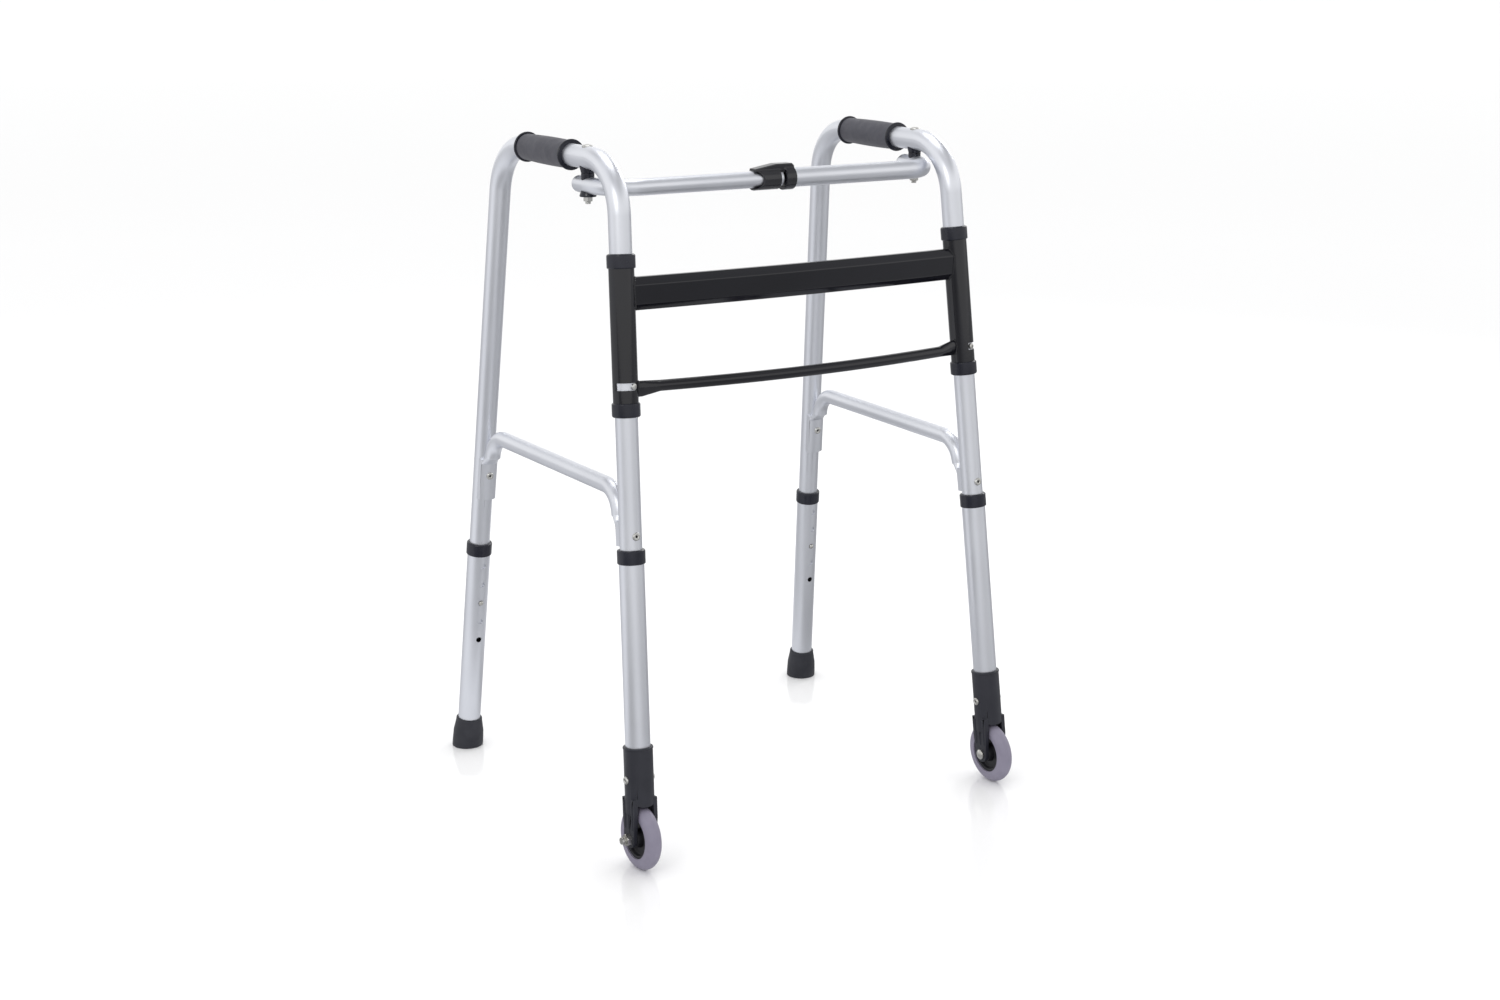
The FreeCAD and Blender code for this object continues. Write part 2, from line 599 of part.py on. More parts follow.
# ---- rubber tips ----
def tip(side):
    """Rubber tip on a rear leg, with its sole flat on the floor and ring grooves under it."""
    top, base = TIP_TOP_R, TIP_BASE_R
    below = base * REAR_LEAN_TAN + PAST
    cuff = TIP_HEIGHT - TIP_CUFF
    outside = [(0, -below), (base, -below), (base, TIP_SOLE_TALL),
               (top + TIP_WAIST_SPREAD, (TIP_SOLE_TALL + cuff) / 2), (top, cuff),
               (top, TIP_HEIGHT - TIP_CHAMFER), (top - TIP_CHAMFER, TIP_HEIGHT)]
    socket = [(LOWER_R, TIP_HEIGHT), (LOWER_R, TIP_FLOOR), (0, TIP_FLOOR)]
    rubber = placed(turned(outside + socket, leg_point(AFT, 0), leg_up(AFT)), side)
    foot = at_side(side, leg_point(AFT, 0))
    reach = 2 * TIP_HEIGHT + 2 * base
    rubber = rubber.common(Part.makeBox(reach, reach, reach, V(foot.x - reach / 2, foot.y - reach / 2, 0)))
    for n in range(TIP_GROOVES):
        outer = base - TIP_GROOVE_EDGE + TIP_GROOVE_WIDE / 2 - n * TIP_GROOVE_PITCH
        low, high = V(foot.x, foot.y, -PAST), V(foot.x, foot.y, TIP_GROOVE_DEEP)
        rubber = rubber.cut(pipe(low, high, outer, outer - TIP_GROOVE_WIDE))
    return rubber


# ---- wheels ----
def axle_point():
    return leg_point(FORE, WHEEL_HEIGHT)


def tyre():
    """Round-treaded solid tyre on the hub's rim."""
    centre_r = WHEEL_D / 2 - TREAD_R
    ring = Part.makeTorus(centre_r, TREAD_R, axle_point(), ACROSS)
    band = cross_rod(axle_point(), ACROSS, TREAD_R, centre_r)
    bore = cross_rod(axle_point(), ACROSS, TREAD_R + PAST, HUB_RIM_D / 2)
    return ring.fuse(band).cut(bore).removeSplitter()


def hub():
    """Hub with a boss on the axle, a thin dished web and a rim under the tyre."""
    rim_r, boss_r, bore_r = HUB_RIM_D / 2, HUB_BOSS_D / 2, AXLE_R + AXLE_CLEARANCE
    boss, rim, web = HUB_BOSS_WIDTH / 2, HUB_RIM_WIDTH / 2, HUB_WEB / 2
    inner = rim_r - HUB_RIM_THICK
    dish = [(boss_r, boss), (boss_r + HUB_DRAFT, web), (inner - HUB_DRAFT, web), (inner, rim), (rim_r, rim)]
    mirrored = [(r, -x) for r, x in reversed(dish)]
    return turned([(bore_r, boss)] + dish + mirrored + [(bore_r, -boss)], axle_point(), ACROSS)


# ---- forks ----
def fork_arms():
    """Block for the two flat arms, tapering down to a round foot at the axle."""
    up, inward = leg_up(FORE), leg_inward(FORE)
    start = axle_point() - ACROSS * FORK_HALF
    half, rise = FORK_ARM_WIDE / 2, WHEEL_ARCH_R + FORK_FLOOR
    outline = [(FORK_FOOT_R, 0), (half, FORK_ARM_SHOULDER), (half, rise),
               (-half, rise), (-half, FORK_ARM_SHOULDER), (-FORK_FOOT_R, 0)]
    slab = flat_face([start + inward * d + up * h for d, h in outline]).extrude(ACROSS * 2 * FORK_HALF)
    return slab.fuse(cross_rod(axle_point(), ACROSS, FORK_HALF, FORK_FOOT_R))


def fork_ribs():
    """Upright ribs on the outer face of each arm."""
    up, inward = leg_up(FORE), leg_inward(FORE)
    low, high = FORK_FOOT_R + FORK_RIB_WIDE, WHEEL_ARCH_R + FORK_FLOOR / 2
    pitch = (FORK_ARM_WIDE - FORK_RIB_WIDE) / FORK_RIBS
    reach = FORK_HALF + FORK_RIB_PROUD
    ribs = []
    for n in range(FORK_RIBS):
        middle = (n - (FORK_RIBS - 1) / 2) * pitch
        base = axle_point() - ACROSS * reach + up * low + inward * (middle - FORK_RIB_WIDE / 2)
        wide, tall = inward * FORK_RIB_WIDE, up * (high - low)
        face = flat_face([base, base + wide, base + wide + tall, base + tall])
        ribs.append(face.extrude(ACROSS * 2 * reach))
    return ribs


def wheel_space():
    """Room for the wheel: an arch round the tyre, open below."""
    up, inward = leg_up(FORE), leg_inward(FORE)
    arch = cross_rod(axle_point(), ACROSS, FORK_SLOT, WHEEL_ARCH_R)
    start = axle_point() - ACROSS * FORK_SLOT
    wide, deep = inward * WHEEL_ARCH_R, up * WHEEL_ARCH_R
    below = flat_face([start - wide, start + wide, start + wide - deep, start - wide - deep])
    return arch.fuse(below.extrude(ACROSS * 2 * FORK_SLOT))


def fork_socket():
    """Round socket for the lower leg with a raised rim."""
    up = leg_up(FORE)
    tall = (FORK_TOP - WHEEL_HEIGHT - WHEEL_ARCH_R + FORK_SKIRT) / up.z
    r, rim_r = FORK_R, FORK_R + FORK_RIM_PROUD
    under_rim = tall - FORK_RIM_TALL
    section = [(0, 0), (r - FORK_CHAMFER, 0), (r, FORK_CHAMFER), (r, under_rim - FORK_RIM_PROUD),
               (rim_r, under_rim), (rim_r, tall - FORK_CHAMFER), (rim_r - FORK_CHAMFER, tall), (0, tall)]
    return turned(section, leg_point(FORE, WHEEL_HEIGHT + WHEEL_ARCH_R - FORK_SKIRT), up)


def fork():
    """Moulded fork: socket for the leg above, two ribbed arms round the wheel below."""
    body = fork_socket().multiFuse([fork_arms()] + fork_ribs())
    body = body.cut(wheel_space())
    body = body.cut(leg_rod(FORE, FORK_SOCKET_FLOOR, FORK_TOP + PAST, LOWER_R))
    body = body.cut(cross_rod(axle_point(), ACROSS, FORK_HALF + PAST, AXLE_R))
    return body.cut(cross_rod(leg_point(FORE, FORK_RIVET_HEIGHT), ACROSS, FORK_R + PAST, RIVET_D / 2))


def fork_rivet():
    """Tubular rivet through the fork and the lower leg."""
    middle = leg_point(FORE, FORK_RIVET_HEIGHT)
    under = leg_rod(FORE, FORK_RIVET_HEIGHT - LEG_OD, FORK_RIVET_HEIGHT + LEG_OD, FORK_R)
    heads = [ring_head(middle + ACROSS * side * FORK_R, ACROSS).cut(under) for side in SIDES.values()]
    rivet = cross_rod(middle, ACROSS, FORK_R, RIVET_D / 2).multiFuse(heads)
    return rivet.cut(cross_rod(middle, ACROSS, 2 * FORK_R, RIVET_BORE_D / 2)).removeSplitter()


def leg_rivet_hole(leg):
    """The fork's rivet passes through the lower leg too."""
    return leg.cut(cross_rod(leg_point(FORE, FORK_RIVET_HEIGHT), ACROSS, FORK_R, RIVET_D / 2))


def axle_bolt(side):
    """Axle with a domed head on the inner side of the fork and a threaded tail on the outer."""
    out = ACROSS * side
    near = axle_point() - out * FORK_HALF
    shank = rod(near, axle_point() + out * (FORK_HALF + NUT_TALL + AXLE_TAIL), AXLE_R)
    head = domed_head(near, out * -1, AXLE_HEAD_D, AXLE_HEAD_TALL, AXLE_HEAD_DOME)
    return shank.fuse(head).removeSplitter()


def axle_nut(side):
    out = ACROSS * side
    return hexagon_nut(axle_point() + out * FORK_HALF, out, NUT_FLATS, NUT_TALL, AXLE_R)


# ---- cross frame ----
def sleeve_axis(side, height):
    return at_side(side, leg_point(FORE, height))


def sleeve_up(side):
    return (sleeve_axis(side, 1) - sleeve_axis(side, 0)).normalize()


def stop_line(side):
    """Where the stop screw's axis meets the leg axis, and the way the screw faces."""
    up = sleeve_up(side)
    bearing = math.radians(STOP_BEARING)
    facing = V(math.sin(bearing), -math.cos(bearing), 0)
    return sleeve_axis(side, STOP_HEIGHT), (facing - up * facing.dot(up)).normalize()


def sleeve(side):
    """Steel sleeve round the front leg, with the curved slot that the stop screw runs in."""
    shell = pipe(sleeve_axis(side, SLEEVE_BOTTOM + BUSH_LIP), sleeve_axis(side, SLEEVE_TOP - BUSH_LIP),
                 SLEEVE_R, SLEEVE_BORE_R)
    middle, facing = stop_line(side)
    up = sleeve_up(side)
    half_tall = STOP_HEAD_D / 2 + STOP_PLAY
    margin = math.degrees(math.asin(half_tall / SLEEVE_BORE_R))
    start = FreeCAD.Rotation(up, -side * margin).multVec(facing)
    near, far = middle + start * LEG_R, middle + start * (SLEEVE_R + PAST)
    rise = up * half_tall
    slot = flat_face([near - rise, far - rise, far + rise, near + rise])
    return shell.cut(Part.Solid(slot.revolve(middle, up * side, FOLD_LIMIT + 2 * margin)))


def bushes(side):
    """Plastic caps over both ends of the sleeve, each with a lip that the leg turns in."""
    section = cap_section(SLEEVE_R, BUSH_BORE_R, BUSH_R, BUSH_HEIGHT, BUSH_LIP, BUSH_ROUND)
    up = sleeve_up(side)
    top = turned(section, sleeve_axis(side, SLEEVE_TOP) - up * BUSH_HEIGHT, up)
    bottom = turned(section, sleeve_axis(side, SLEEVE_BOTTOM) + up * BUSH_HEIGHT, up * -1)
    return Part.makeCompound([top, bottom])


def stop_screw(side):
    """Screw in the front leg whose head runs in the sleeve's slot."""
    middle, facing = stop_line(side)
    base = middle + facing * (LEG_R - STOP_HEAD_SUNK)
    top = middle + facing * (SLEEVE_R + STOP_HEAD_PROUD)
    head = domed_head(base, facing, STOP_HEAD_D, (top - base).Length, STOP_HEAD_DOME)
    head = head.cut(cross_rod(middle, sleeve_up(side), STOP_HEAD_D, LEG_R))
    shank = rod(middle + facing * (LEG_R - STOP_SHANK_LONG), middle + facing * SLEEVE_R, STOP_SHANK_D / 2)
    recess = rod(top - facing * STOP_RECESS_DEEP, top + facing * PAST, STOP_RECESS_D / 2)
    return head.fuse(shank).cut(recess).removeSplitter()


def bar_arc(height, bow):
    """Bowed centreline between the sleeves, as an arc through its ends and its forward middle."""
    left, right = sleeve_axis(-1, height), sleeve_axis(1, height)
    middle = (left + right) * 0.5 - V(0, bow, 0)
    return Part.Arc(left, middle, right).toShape()


def swept(section_points, arc):
    """A constant section carried along a bowed bar. Section points are (forward, up) from the centreline."""
    tangent = arc.tangentAt(arc.FirstParameter)
    start = arc.valueAt(arc.FirstParameter)
    forward = tangent.cross(UP).normalize()
    points = [start + forward * f + UP * u for f, u in section_points]
    section = Part.makePolygon(points + points[:1])
    return Part.Solid(Part.Wire(arc).makePipeShell([section], True, False))


def between_sleeves(bar):
    """Cut a bar's ends to the sleeves' round sides and keep the piece between them."""
    for side in SIDES.values():
        bar = bar.cut(rod(sleeve_axis(side, SLEEVE_BOTTOM), sleeve_axis(side, SLEEVE_TOP), SLEEVE_R))
    return max(bar.Solids, key=lambda solid: solid.Volume)


def crossbar_section(inset):
    """Flattened section with a flat front strip and sloped strips above and below it."""
    deep, tall = CROSSBAR_DEEP / 2 - inset, CROSSBAR_TALL / 2 - inset
    flat = CROSSBAR_FLAT / 2 - inset * CROSSBAR_INNER
    edge = CROSSBAR_EDGE / 2 - inset * CROSSBAR_INNER
    return [(deep, -flat), (deep, flat), (edge, tall), (-edge, tall),
            (-deep, flat), (-deep, -flat), (-edge, -tall), (edge, -tall)]


def crossbar():
    """Main bar between the sleeves, pressed flat and bowed slightly forward."""
    arc = bar_arc(CROSSBAR_HEIGHT, CROSSBAR_BOW)
    return between_sleeves(swept(crossbar_section(0), arc).cut(swept(crossbar_section(THIN_WALL), arc)))


def pressed_end(arc, side):
    """Loft from the round bar to a tall flat oval at the sleeve."""
    first, last = arc.FirstParameter, arc.LastParameter
    inward_step = -side * (last - first) / arc.Length
    near = last if side > 0 else first
    r = LOWER_BAR_OD / 2
    tall, thick = LOWER_BAR_FLARE / 2, LOWER_BAR_PRESSED / 2
    stations = ((SLEEVE_R / 2, tall, thick, LOWER_BAR_SHIFT),
                (SLEEVE_R + LOWER_BAR_SQUARE, tall, thick, LOWER_BAR_SHIFT),
                (SLEEVE_R + LOWER_BAR_TAPER, r, r, 0))
    wires = []
    for along, half_tall, half_thick, shift in stations:
        at = near + inward_step * along
        centre = arc.valueAt(at) + UP * side * shift
        wires.append(oval(centre, UP, arc.tangentAt(at), half_tall, half_thick))
    return Part.makeLoft(wires, True, True)


def round_bar(arc, low, high, radius):
    """Round bar along part of a bowed centreline."""
    middle = arc.Curve.toShape(low, high)
    circle = Part.Circle(middle.valueAt(low), middle.tangentAt(low), radius)
    return Part.Solid(Part.Wire(middle).makePipeShell([Part.Wire(circle.toShape())], True, False))


def lower_bar():
    """Round tube bowed further forward, with taller pressed ends at the sleeves."""
    arc = bar_arc(LOWER_BAR_HEIGHT, LOWER_BAR_BOW)
    low, high = arc.FirstParameter, arc.LastParameter
    step = (high - low) * (SLEEVE_R + LOWER_BAR_TAPER) / arc.Length
    r = LOWER_BAR_OD / 2
    bar = round_bar(arc, low + step, high - step, r).multiFuse([pressed_end(arc, s) for s in SIDES.values()])
    bar = between_sleeves(bar)
    return bar.cut(round_bar(arc, low + step, high - step, r - THIN_WALL))


# ---- top arms ----
def pivot_point(side):
    """Handle axis over the arm's pivot bolt."""
    return at_side(side, V(0, STRAIGHT_START + PIVOT_PLACE, HANDLE_HEIGHT))


def arm_pivot(side):
    pivot = pivot_point(side)
    return V(pivot.x, pivot.y, ARM_HEIGHT)


def arm_radius(side):
    return (RIGHT_ARM_OD if side > 0 else LEFT_ARM_OD) / 2


def arm_bar(side, radius, tail, reach):
    """Solid bar along the arm's J-shaped line."""
    pivot = arm_pivot(side)
    corner = pivot - V(0, ARM_BEND, 0)
    return bent_rod([pivot + V(0, tail, 0), corner, V(reach, corner.y, ARM_HEIGHT)], [ARM_BEND], radius)


def arm_reach(side):
    return RIGHT_ARM_REACH if side > 0 else LEFT_ARM_REACH


def arm_outer(side):
    """The arm's outside, with a domed end on its tail."""
    dome = Part.makeSphere(arm_radius(side), arm_pivot(side) + V(0, ARM_TAIL, 0))
    return arm_bar(side, arm_radius(side), ARM_TAIL, arm_reach(side)).fuse(dome).removeSplitter()


def arm_tube(side):
    """J-shaped arm: short tail under the handle, then across to the middle."""
    past_end = arm_reach(side) - side * PAST
    tube = arm_outer(side).cut(arm_bar(side, arm_radius(side) - THIN_WALL, ARM_TAIL, past_end))
    return tube.cut(cross_rod(arm_pivot(side), UP, 2 * arm_radius(side), PIVOT_BOLT_D / 2 + PIVOT_CLEARANCE))


def cradle_split(side):
    """Height at which the handle's cradle meets the arm's."""
    return (pivot_point(side).z - LEG_R + ARM_HEIGHT + arm_radius(side)) / 2


def handle_cradle(side):
    """Spacer fixed under the handle, hollowed to fit it, flat underneath."""
    pivot = pivot_point(side)
    low = V(pivot.x, pivot.y, cradle_split(side) + CRADLE_GAP / 2)
    tall = pivot.z - LEG_R + CRADLE_HUG - low.z
    block = turned([(0, 0), (CRADLE_NARROW_D / 2, 0), (CRADLE_D / 2, tall), (0, tall)], low, UP)
    block = block.cut(placed(side_bar(LEG_R), side))
    return block.cut(cross_rod(pivot, UP, 2 * LEG_OD, PIVOT_BOLT_D / 2))


def arm_cradles(side):
    """Spacers above and below the arm, hollowed to fit it, that turn with it."""
    pivot = arm_pivot(side)
    r = arm_radius(side)
    wide, narrow = CRADLE_D / 2, CRADLE_NARROW_D / 2
    top = V(pivot.x, pivot.y, cradle_split(side) - CRADLE_GAP / 2)
    upper = rod(pivot + UP * (r - CRADLE_HUG), top, narrow)
    tall = CRADLE_WALL + CRADLE_HUG
    section = [(0, 0), (wide, 0), (wide, CRADLE_RIM), (narrow, tall), (0, tall)]
    lower = turned(section, pivot - UP * (r + CRADLE_WALL), UP)
    arm = arm_outer(side)
    bore = cross_rod(pivot, UP, 4 * r, PIVOT_BOLT_D / 2 + PIVOT_CLEARANCE)
    return Part.makeCompound([piece.cut(arm).cut(bore) for piece in (upper, lower)])


def pivot_nut_top(side):
    return ARM_HEIGHT - arm_radius(side) - CRADLE_WALL - CRADLE_GAP


def pivot_bolt(side):
    """Vertical bolt through handle and arm, with a low head on the handle."""
    pivot = pivot_point(side)
    low = pivot_nut_top(side) - PIVOT_NUT_TALL - PIVOT_TAIL
    shank = rod(V(pivot.x, pivot.y, low), pivot + UP * LEG_R, PIVOT_BOLT_D / 2)
    seat = pivot + UP * (LEG_R - PIVOT_HEAD_SUNK)
    head = domed_head(seat, UP, PIVOT_HEAD_D, PIVOT_HEAD_TALL + PIVOT_HEAD_SUNK, PIVOT_HEAD_DOME)
    return shank.fuse(head.cut(placed(side_bar(LEG_R), side))).removeSplitter()


def pivot_nut(side):
    pivot = pivot_point(side)
    top = V(pivot.x, pivot.y, pivot_nut_top(side))
    return hexagon_nut(top, UP * -1, PIVOT_NUT_FLATS, PIVOT_NUT_TALL, PIVOT_BOLT_D / 2)


# ---- snap clip ----
def along_x(start, finish, radius, line):
    return rod(V(start, line.y, line.z), V(finish, line.y, line.z), radius)


def arm_clip():
    """Moulded clip: a ring fixed on the right arm, a springy jaw that snaps on the left arm."""
    line = arm_pivot(1) - V(0, ARM_BEND, 0)
    ring_r = RIGHT_ARM_OD / 2
    jaw_r = LEFT_ARM_OD / 2 + CLIP_CLEARANCE
    ring = along_x(CLIP_RING_START, CLIP_RING_END, ring_r + CLIP_WALL, line)
    jaw = along_x(CLIP_JAW_START, CLIP_JAW_END, jaw_r + CLIP_WALL, line)
    body = ring.multiFuse([jaw, clip_ridge(line, jaw_r)])
    body = body.cut(along_x(CLIP_JAW_START - PAST, RIGHT_ARM_REACH - CLIP_STOP, jaw_r, line))
    body = body.cut(along_x(RIGHT_ARM_REACH, CLIP_RING_END + PAST, ring_r, line))
    mouth = V(CLIP_JAW_START - PAST, line.y, line.z - CLIP_MOUTH / 2)
    reach = CLIP_JAW_END - CLIP_JAW_START + 2 * PAST
    body = body.cut(Part.makeBox(reach, ring_r + CLIP_WALL + PAST, CLIP_MOUTH, mouth))
    lip = cross_rod(V(CLIP_JAW_START, line.y, line.z), V(0, 1, 0), 3 * ring_r, CLIP_LIP_R)
    return body.cut(lip).removeSplitter()


def clip_ridge(line, jaw_r):
    """Raised thumb ridge along the top of the clip."""
    base = line.z + jaw_r - PAST / 2
    low = line.z + jaw_r + CLIP_WALL
    high = line.z + RIGHT_ARM_OD / 2 + CLIP_RIDGE_TALL
    y = line.y - CLIP_RIDGE_WIDTH / 2
    outline = [V(CLIP_JAW_START, y, base), V(CLIP_JAW_START, y, low), V(CLIP_RIDGE_TOP, y, high),
               V(CLIP_RING_END - PAST, y, high), V(CLIP_RING_END, y, high - PAST), V(CLIP_RING_END, y, base)]
    return flat_face(outline).extrude(V(0, CLIP_RIDGE_WIDTH, 0))


# ---- build ----
def build_cross_frame_end(name, side):
    export(name + "_sleeve", sleeve(side))
    export(name + "_bushes", bushes(side))


def build_side_frame(name, side):
    """The folding side frame and all that is fixed to it."""
    export(name + "_side_tube", side_tube(side))
    export(name + "_side_brace", placed(side_brace(), side))
    rivets = Part.makeCompound([brace_rivet(end) for end in (FORE, AFT)])
    export(name + "_brace_rivets", placed(rivets, side))
    export(name + "_stop_screw", stop_screw(side))
    export(name + "_grip", placed(grip(), side))
    export(name + "_pivot_bolt", pivot_bolt(side))
    export(name + "_pivot_nut", pivot_nut(side))
    export(name + "_handle_cradle", handle_cradle(side))
    for word, end in (("front", FORE), ("rear", AFT)):
        export(name + "_" + word + "_spring", placed(button_spring(end), side))
        export(name + "_" + word + "_button", placed(snap_button(end), side))


def build_arm(name, side):
    export(name + "_arm", arm_tube(side))
    export(name + "_arm_cradles", arm_cradles(side))


def build_legs(name, side):
    """Lower legs and what they stand on."""
    front_leg = lower_leg(FORE, FORK_SOCKET_FLOOR, FRONT_COLLAR_TOP)
    export(name + "_front_leg", placed(leg_rivet_hole(front_leg), side))
    export(name + "_front_collar", placed(collar(FORE, FRONT_COLLAR_TOP), side))
    rear_leg = lower_leg(AFT, TIP_FLOOR * leg_up(AFT).z, REAR_COLLAR_TOP)
    export(name + "_rear_leg", placed(rear_leg, side))
    export(name + "_rear_collar", placed(collar(AFT, REAR_COLLAR_TOP), side))
    export(name + "_rear_tip", tip(side))
    export(name + "_fork", placed(fork(), side))
    export(name + "_fork_rivet", placed(fork_rivet(), side))
    export(name + "_axle_bolt", placed(axle_bolt(side), side))
    export(name + "_axle_nut", placed(axle_nut(side), side))
    export(name + "_tyre", placed(tyre(), side))
    export(name + "_hub", placed(hub(), side))


for side_name, side_sign in SIDES.items():
    build_cross_frame_end(side_name, side_sign)
    build_side_frame(side_name, side_sign)
    build_arm(side_name, side_sign)
    build_legs(side_name, side_sign)
export("crossbar", crossbar())
export("lower_bar", lower_bar())
export("arm_clip", arm_clip())
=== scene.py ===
# %% [markdown]
# # A folding walking frame, finished for the studio
# The frame arrives as finished engineering parts: bent aluminium tubes, black steel bars, mouldings and
# fasteners. Each part already has its true size and place. What it lacks is what makes it look real:
# rounded edges, screw threads, weld beads, a soft grip and a proper finish on each surface. The cells
# below add these one by one. Everything is in metres.

# %% Load the parts
import bmesh
import bpy
import json
import math
from mathutils import Matrix, Vector


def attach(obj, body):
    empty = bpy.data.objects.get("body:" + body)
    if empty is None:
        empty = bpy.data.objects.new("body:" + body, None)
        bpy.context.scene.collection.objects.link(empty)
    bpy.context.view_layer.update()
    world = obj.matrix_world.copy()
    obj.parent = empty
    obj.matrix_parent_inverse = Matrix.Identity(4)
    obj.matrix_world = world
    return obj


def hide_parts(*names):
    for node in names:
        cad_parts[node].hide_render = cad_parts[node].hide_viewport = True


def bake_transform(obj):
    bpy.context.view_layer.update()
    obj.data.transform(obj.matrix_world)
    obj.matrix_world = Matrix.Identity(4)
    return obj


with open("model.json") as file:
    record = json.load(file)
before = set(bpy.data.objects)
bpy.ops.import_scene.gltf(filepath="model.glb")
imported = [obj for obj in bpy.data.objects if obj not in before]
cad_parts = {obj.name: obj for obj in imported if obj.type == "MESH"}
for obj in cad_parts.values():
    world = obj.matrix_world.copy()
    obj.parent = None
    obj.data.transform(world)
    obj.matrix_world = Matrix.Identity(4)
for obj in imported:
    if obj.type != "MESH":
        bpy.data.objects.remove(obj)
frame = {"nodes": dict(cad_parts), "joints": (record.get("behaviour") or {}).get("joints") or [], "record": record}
NODES = frame["nodes"]
JOINTS = {joint["name"]: joint for joint in frame["joints"]}
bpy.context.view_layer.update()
SIDES = {"left": -1, "right": 1}
MM = 0.001

# %% [markdown]
# ## Where the viewer stands
# The camera stands in front of the wheels, a little to one side and above the handles, so both side
# frames and the cross frame show. A fifty millimetre lens keeps the legs nearly parallel. The direction
# is given as a turn to the side, a tilt down and a slight roll, which are easier to think about than
# three Euler angles.

# %% Camera
EYE = Vector((-1.30830, -2.14953, 1.02182))
TURN = math.radians(31.782)
TILT = math.radians(-15.336)
ROLL = math.radians(0.211)

lens = bpy.data.cameras.new("studio camera")
lens.lens = 50.30
lens.sensor_width = 36.0
lens.shift_x = 0.0021
lens.shift_y = 0.0092
camera = bpy.data.objects.new("studio camera", lens)
facing = Matrix.Rotation(-TURN, 4, "Z") @ Matrix.Rotation(math.pi / 2 + TILT, 4, "X")
camera.matrix_world = Matrix.Translation(EYE) @ facing @ Matrix.Rotation(ROLL, 4, "Z")
bpy.context.scene.collection.objects.link(camera)
bpy.context.scene.camera = camera
print("camera", round(EYE.length, 2), "m from the middle of the floor")

# %% [markdown]
# ## The room: a pale floor and a painted reflection
# Metal tube has almost no look of its own: it shows the room. In a plain white room it goes flat and
# chalky. Photographers hang grey cards between the lamps, so that each tube gets soft bands of light
# and dark along its length. Here there are no cards: the bands are a painted reflection. An upright
# tube seen from above mirrors mostly the floor, so both the floor and the room show a ramp of light and
# dark bands that runs round the frame, but only to reflections. To the eye they stay plain and pale.

# %% Painted reflection bands round the frame
# Each painted reflection band is (how far round the circle it lies, how bright it is).
# Painted reflection: these greys are seen only in reflections, never as light on anything.
PAINTED_REFLECTION_BANDS = [(0.00, 0.62), (0.09, 0.14), (0.19, 0.95), (0.30, 0.20), (0.42, 0.75),
         (0.55, 0.08), (0.66, 1.10), (0.78, 0.20), (0.90, 0.90)]

# The painted reflection bands are very slightly blue.
PAINTED_REFLECTION_GREEN = 1.01
PAINTED_REFLECTION_BLUE = 1.04


def painted_reflection_ramp(tree, coordinates):
    """Nodes that turn a direction or a place into the grey of the painted reflection band that lies there."""
    around = tree.nodes.new("ShaderNodeTexGradient")
    around.gradient_type = "RADIAL"
    ramp = tree.nodes.new("ShaderNodeValToRGB")
    ramp.color_ramp.interpolation = "B_SPLINE"
    for position, _ in PAINTED_REFLECTION_BANDS[1:-1]:
        ramp.color_ramp.elements.new(position)
    for stop, (position, grey) in zip(ramp.color_ramp.elements, PAINTED_REFLECTION_BANDS):
        stop.position = position
        stop.color = (grey, grey * PAINTED_REFLECTION_GREEN, grey * PAINTED_REFLECTION_BLUE, 1)
    tree.links.new(coordinates, around.inputs["Vector"])
    tree.links.new(around.outputs["Fac"], ramp.inputs["Fac"])
    return ramp.outputs["Color"]


def show_painted_reflection(tree, plain, painted_reflection, mask, surface):
    """Show one shader to the eye, and the painted reflection bands wherever the mask lets a reflection see them.
    """
    either = tree.nodes.new("ShaderNodeMixShader")
    tree.links.new(mask, either.inputs["Fac"])
    tree.links.new(plain, either.inputs[1])
    tree.links.new(painted_reflection, either.inputs[2])
    tree.links.new(either.outputs["Shader"], surface)


def is_reflection(tree):
    """One where a reflection looks, and nought where the eye looks."""
    return tree.nodes.new("ShaderNodeLightPath").outputs["Is Glossy Ray"]


# %% Floor
FLOOR_HALF = 60.0
corners = [(x * FLOOR_HALF, y * FLOOR_HALF, 0) for x, y in ((-1, -1), (1, -1), (1, 1), (-1, 1))]
floor_mesh = bpy.data.meshes.new("floor")
floor_mesh.from_pydata(corners, [], [(0, 1, 2, 3)])
floor = bpy.data.objects.new("floor", floor_mesh)
bpy.context.scene.collection.objects.link(floor)

floor_paint = bpy.data.materials.new("pale floor")
floor_paint.use_nodes = True
tree = floor_paint.node_tree
floor_shader = tree.nodes["Principled BSDF"]
floor_shader.inputs["Base Color"].default_value = (0.96, 0.96, 0.965, 1)
floor_shader.inputs["Roughness"].default_value = 0.10
floor_shader.inputs["Specular IOR Level"].default_value = 0.55
# Painted reflection: the floor glows with the bands wherever a reflection looks at it, and stays plain to the eye.
painted_reflection = tree.nodes.new("ShaderNodeEmission")
floor_place = tree.nodes.new("ShaderNodeTexCoord").outputs["Object"]
tree.links.new(painted_reflection_ramp(tree, floor_place), painted_reflection.inputs["Color"])
show_painted_reflection(tree, floor_shader.outputs["BSDF"], painted_reflection.outputs["Emission"], is_reflection(tree),
               tree.nodes["Material Output"].inputs["Surface"])
floor_mesh.materials.append(floor_paint)

# %% Room light
# Reflections that point up this steeply start to see the painted reflection bands, and see only those bands a
# little higher.
PAINTED_REFLECTION_START = 0.5
PAINTED_REFLECTION_FULL = 0.7
room = bpy.data.worlds.new("studio room")
room.use_nodes = True
tree = room.node_tree
plain = tree.nodes["Background"]
plain.inputs["Color"].default_value = (1.0, 1.0, 1.0, 1)
plain.inputs["Strength"].default_value = 1.0
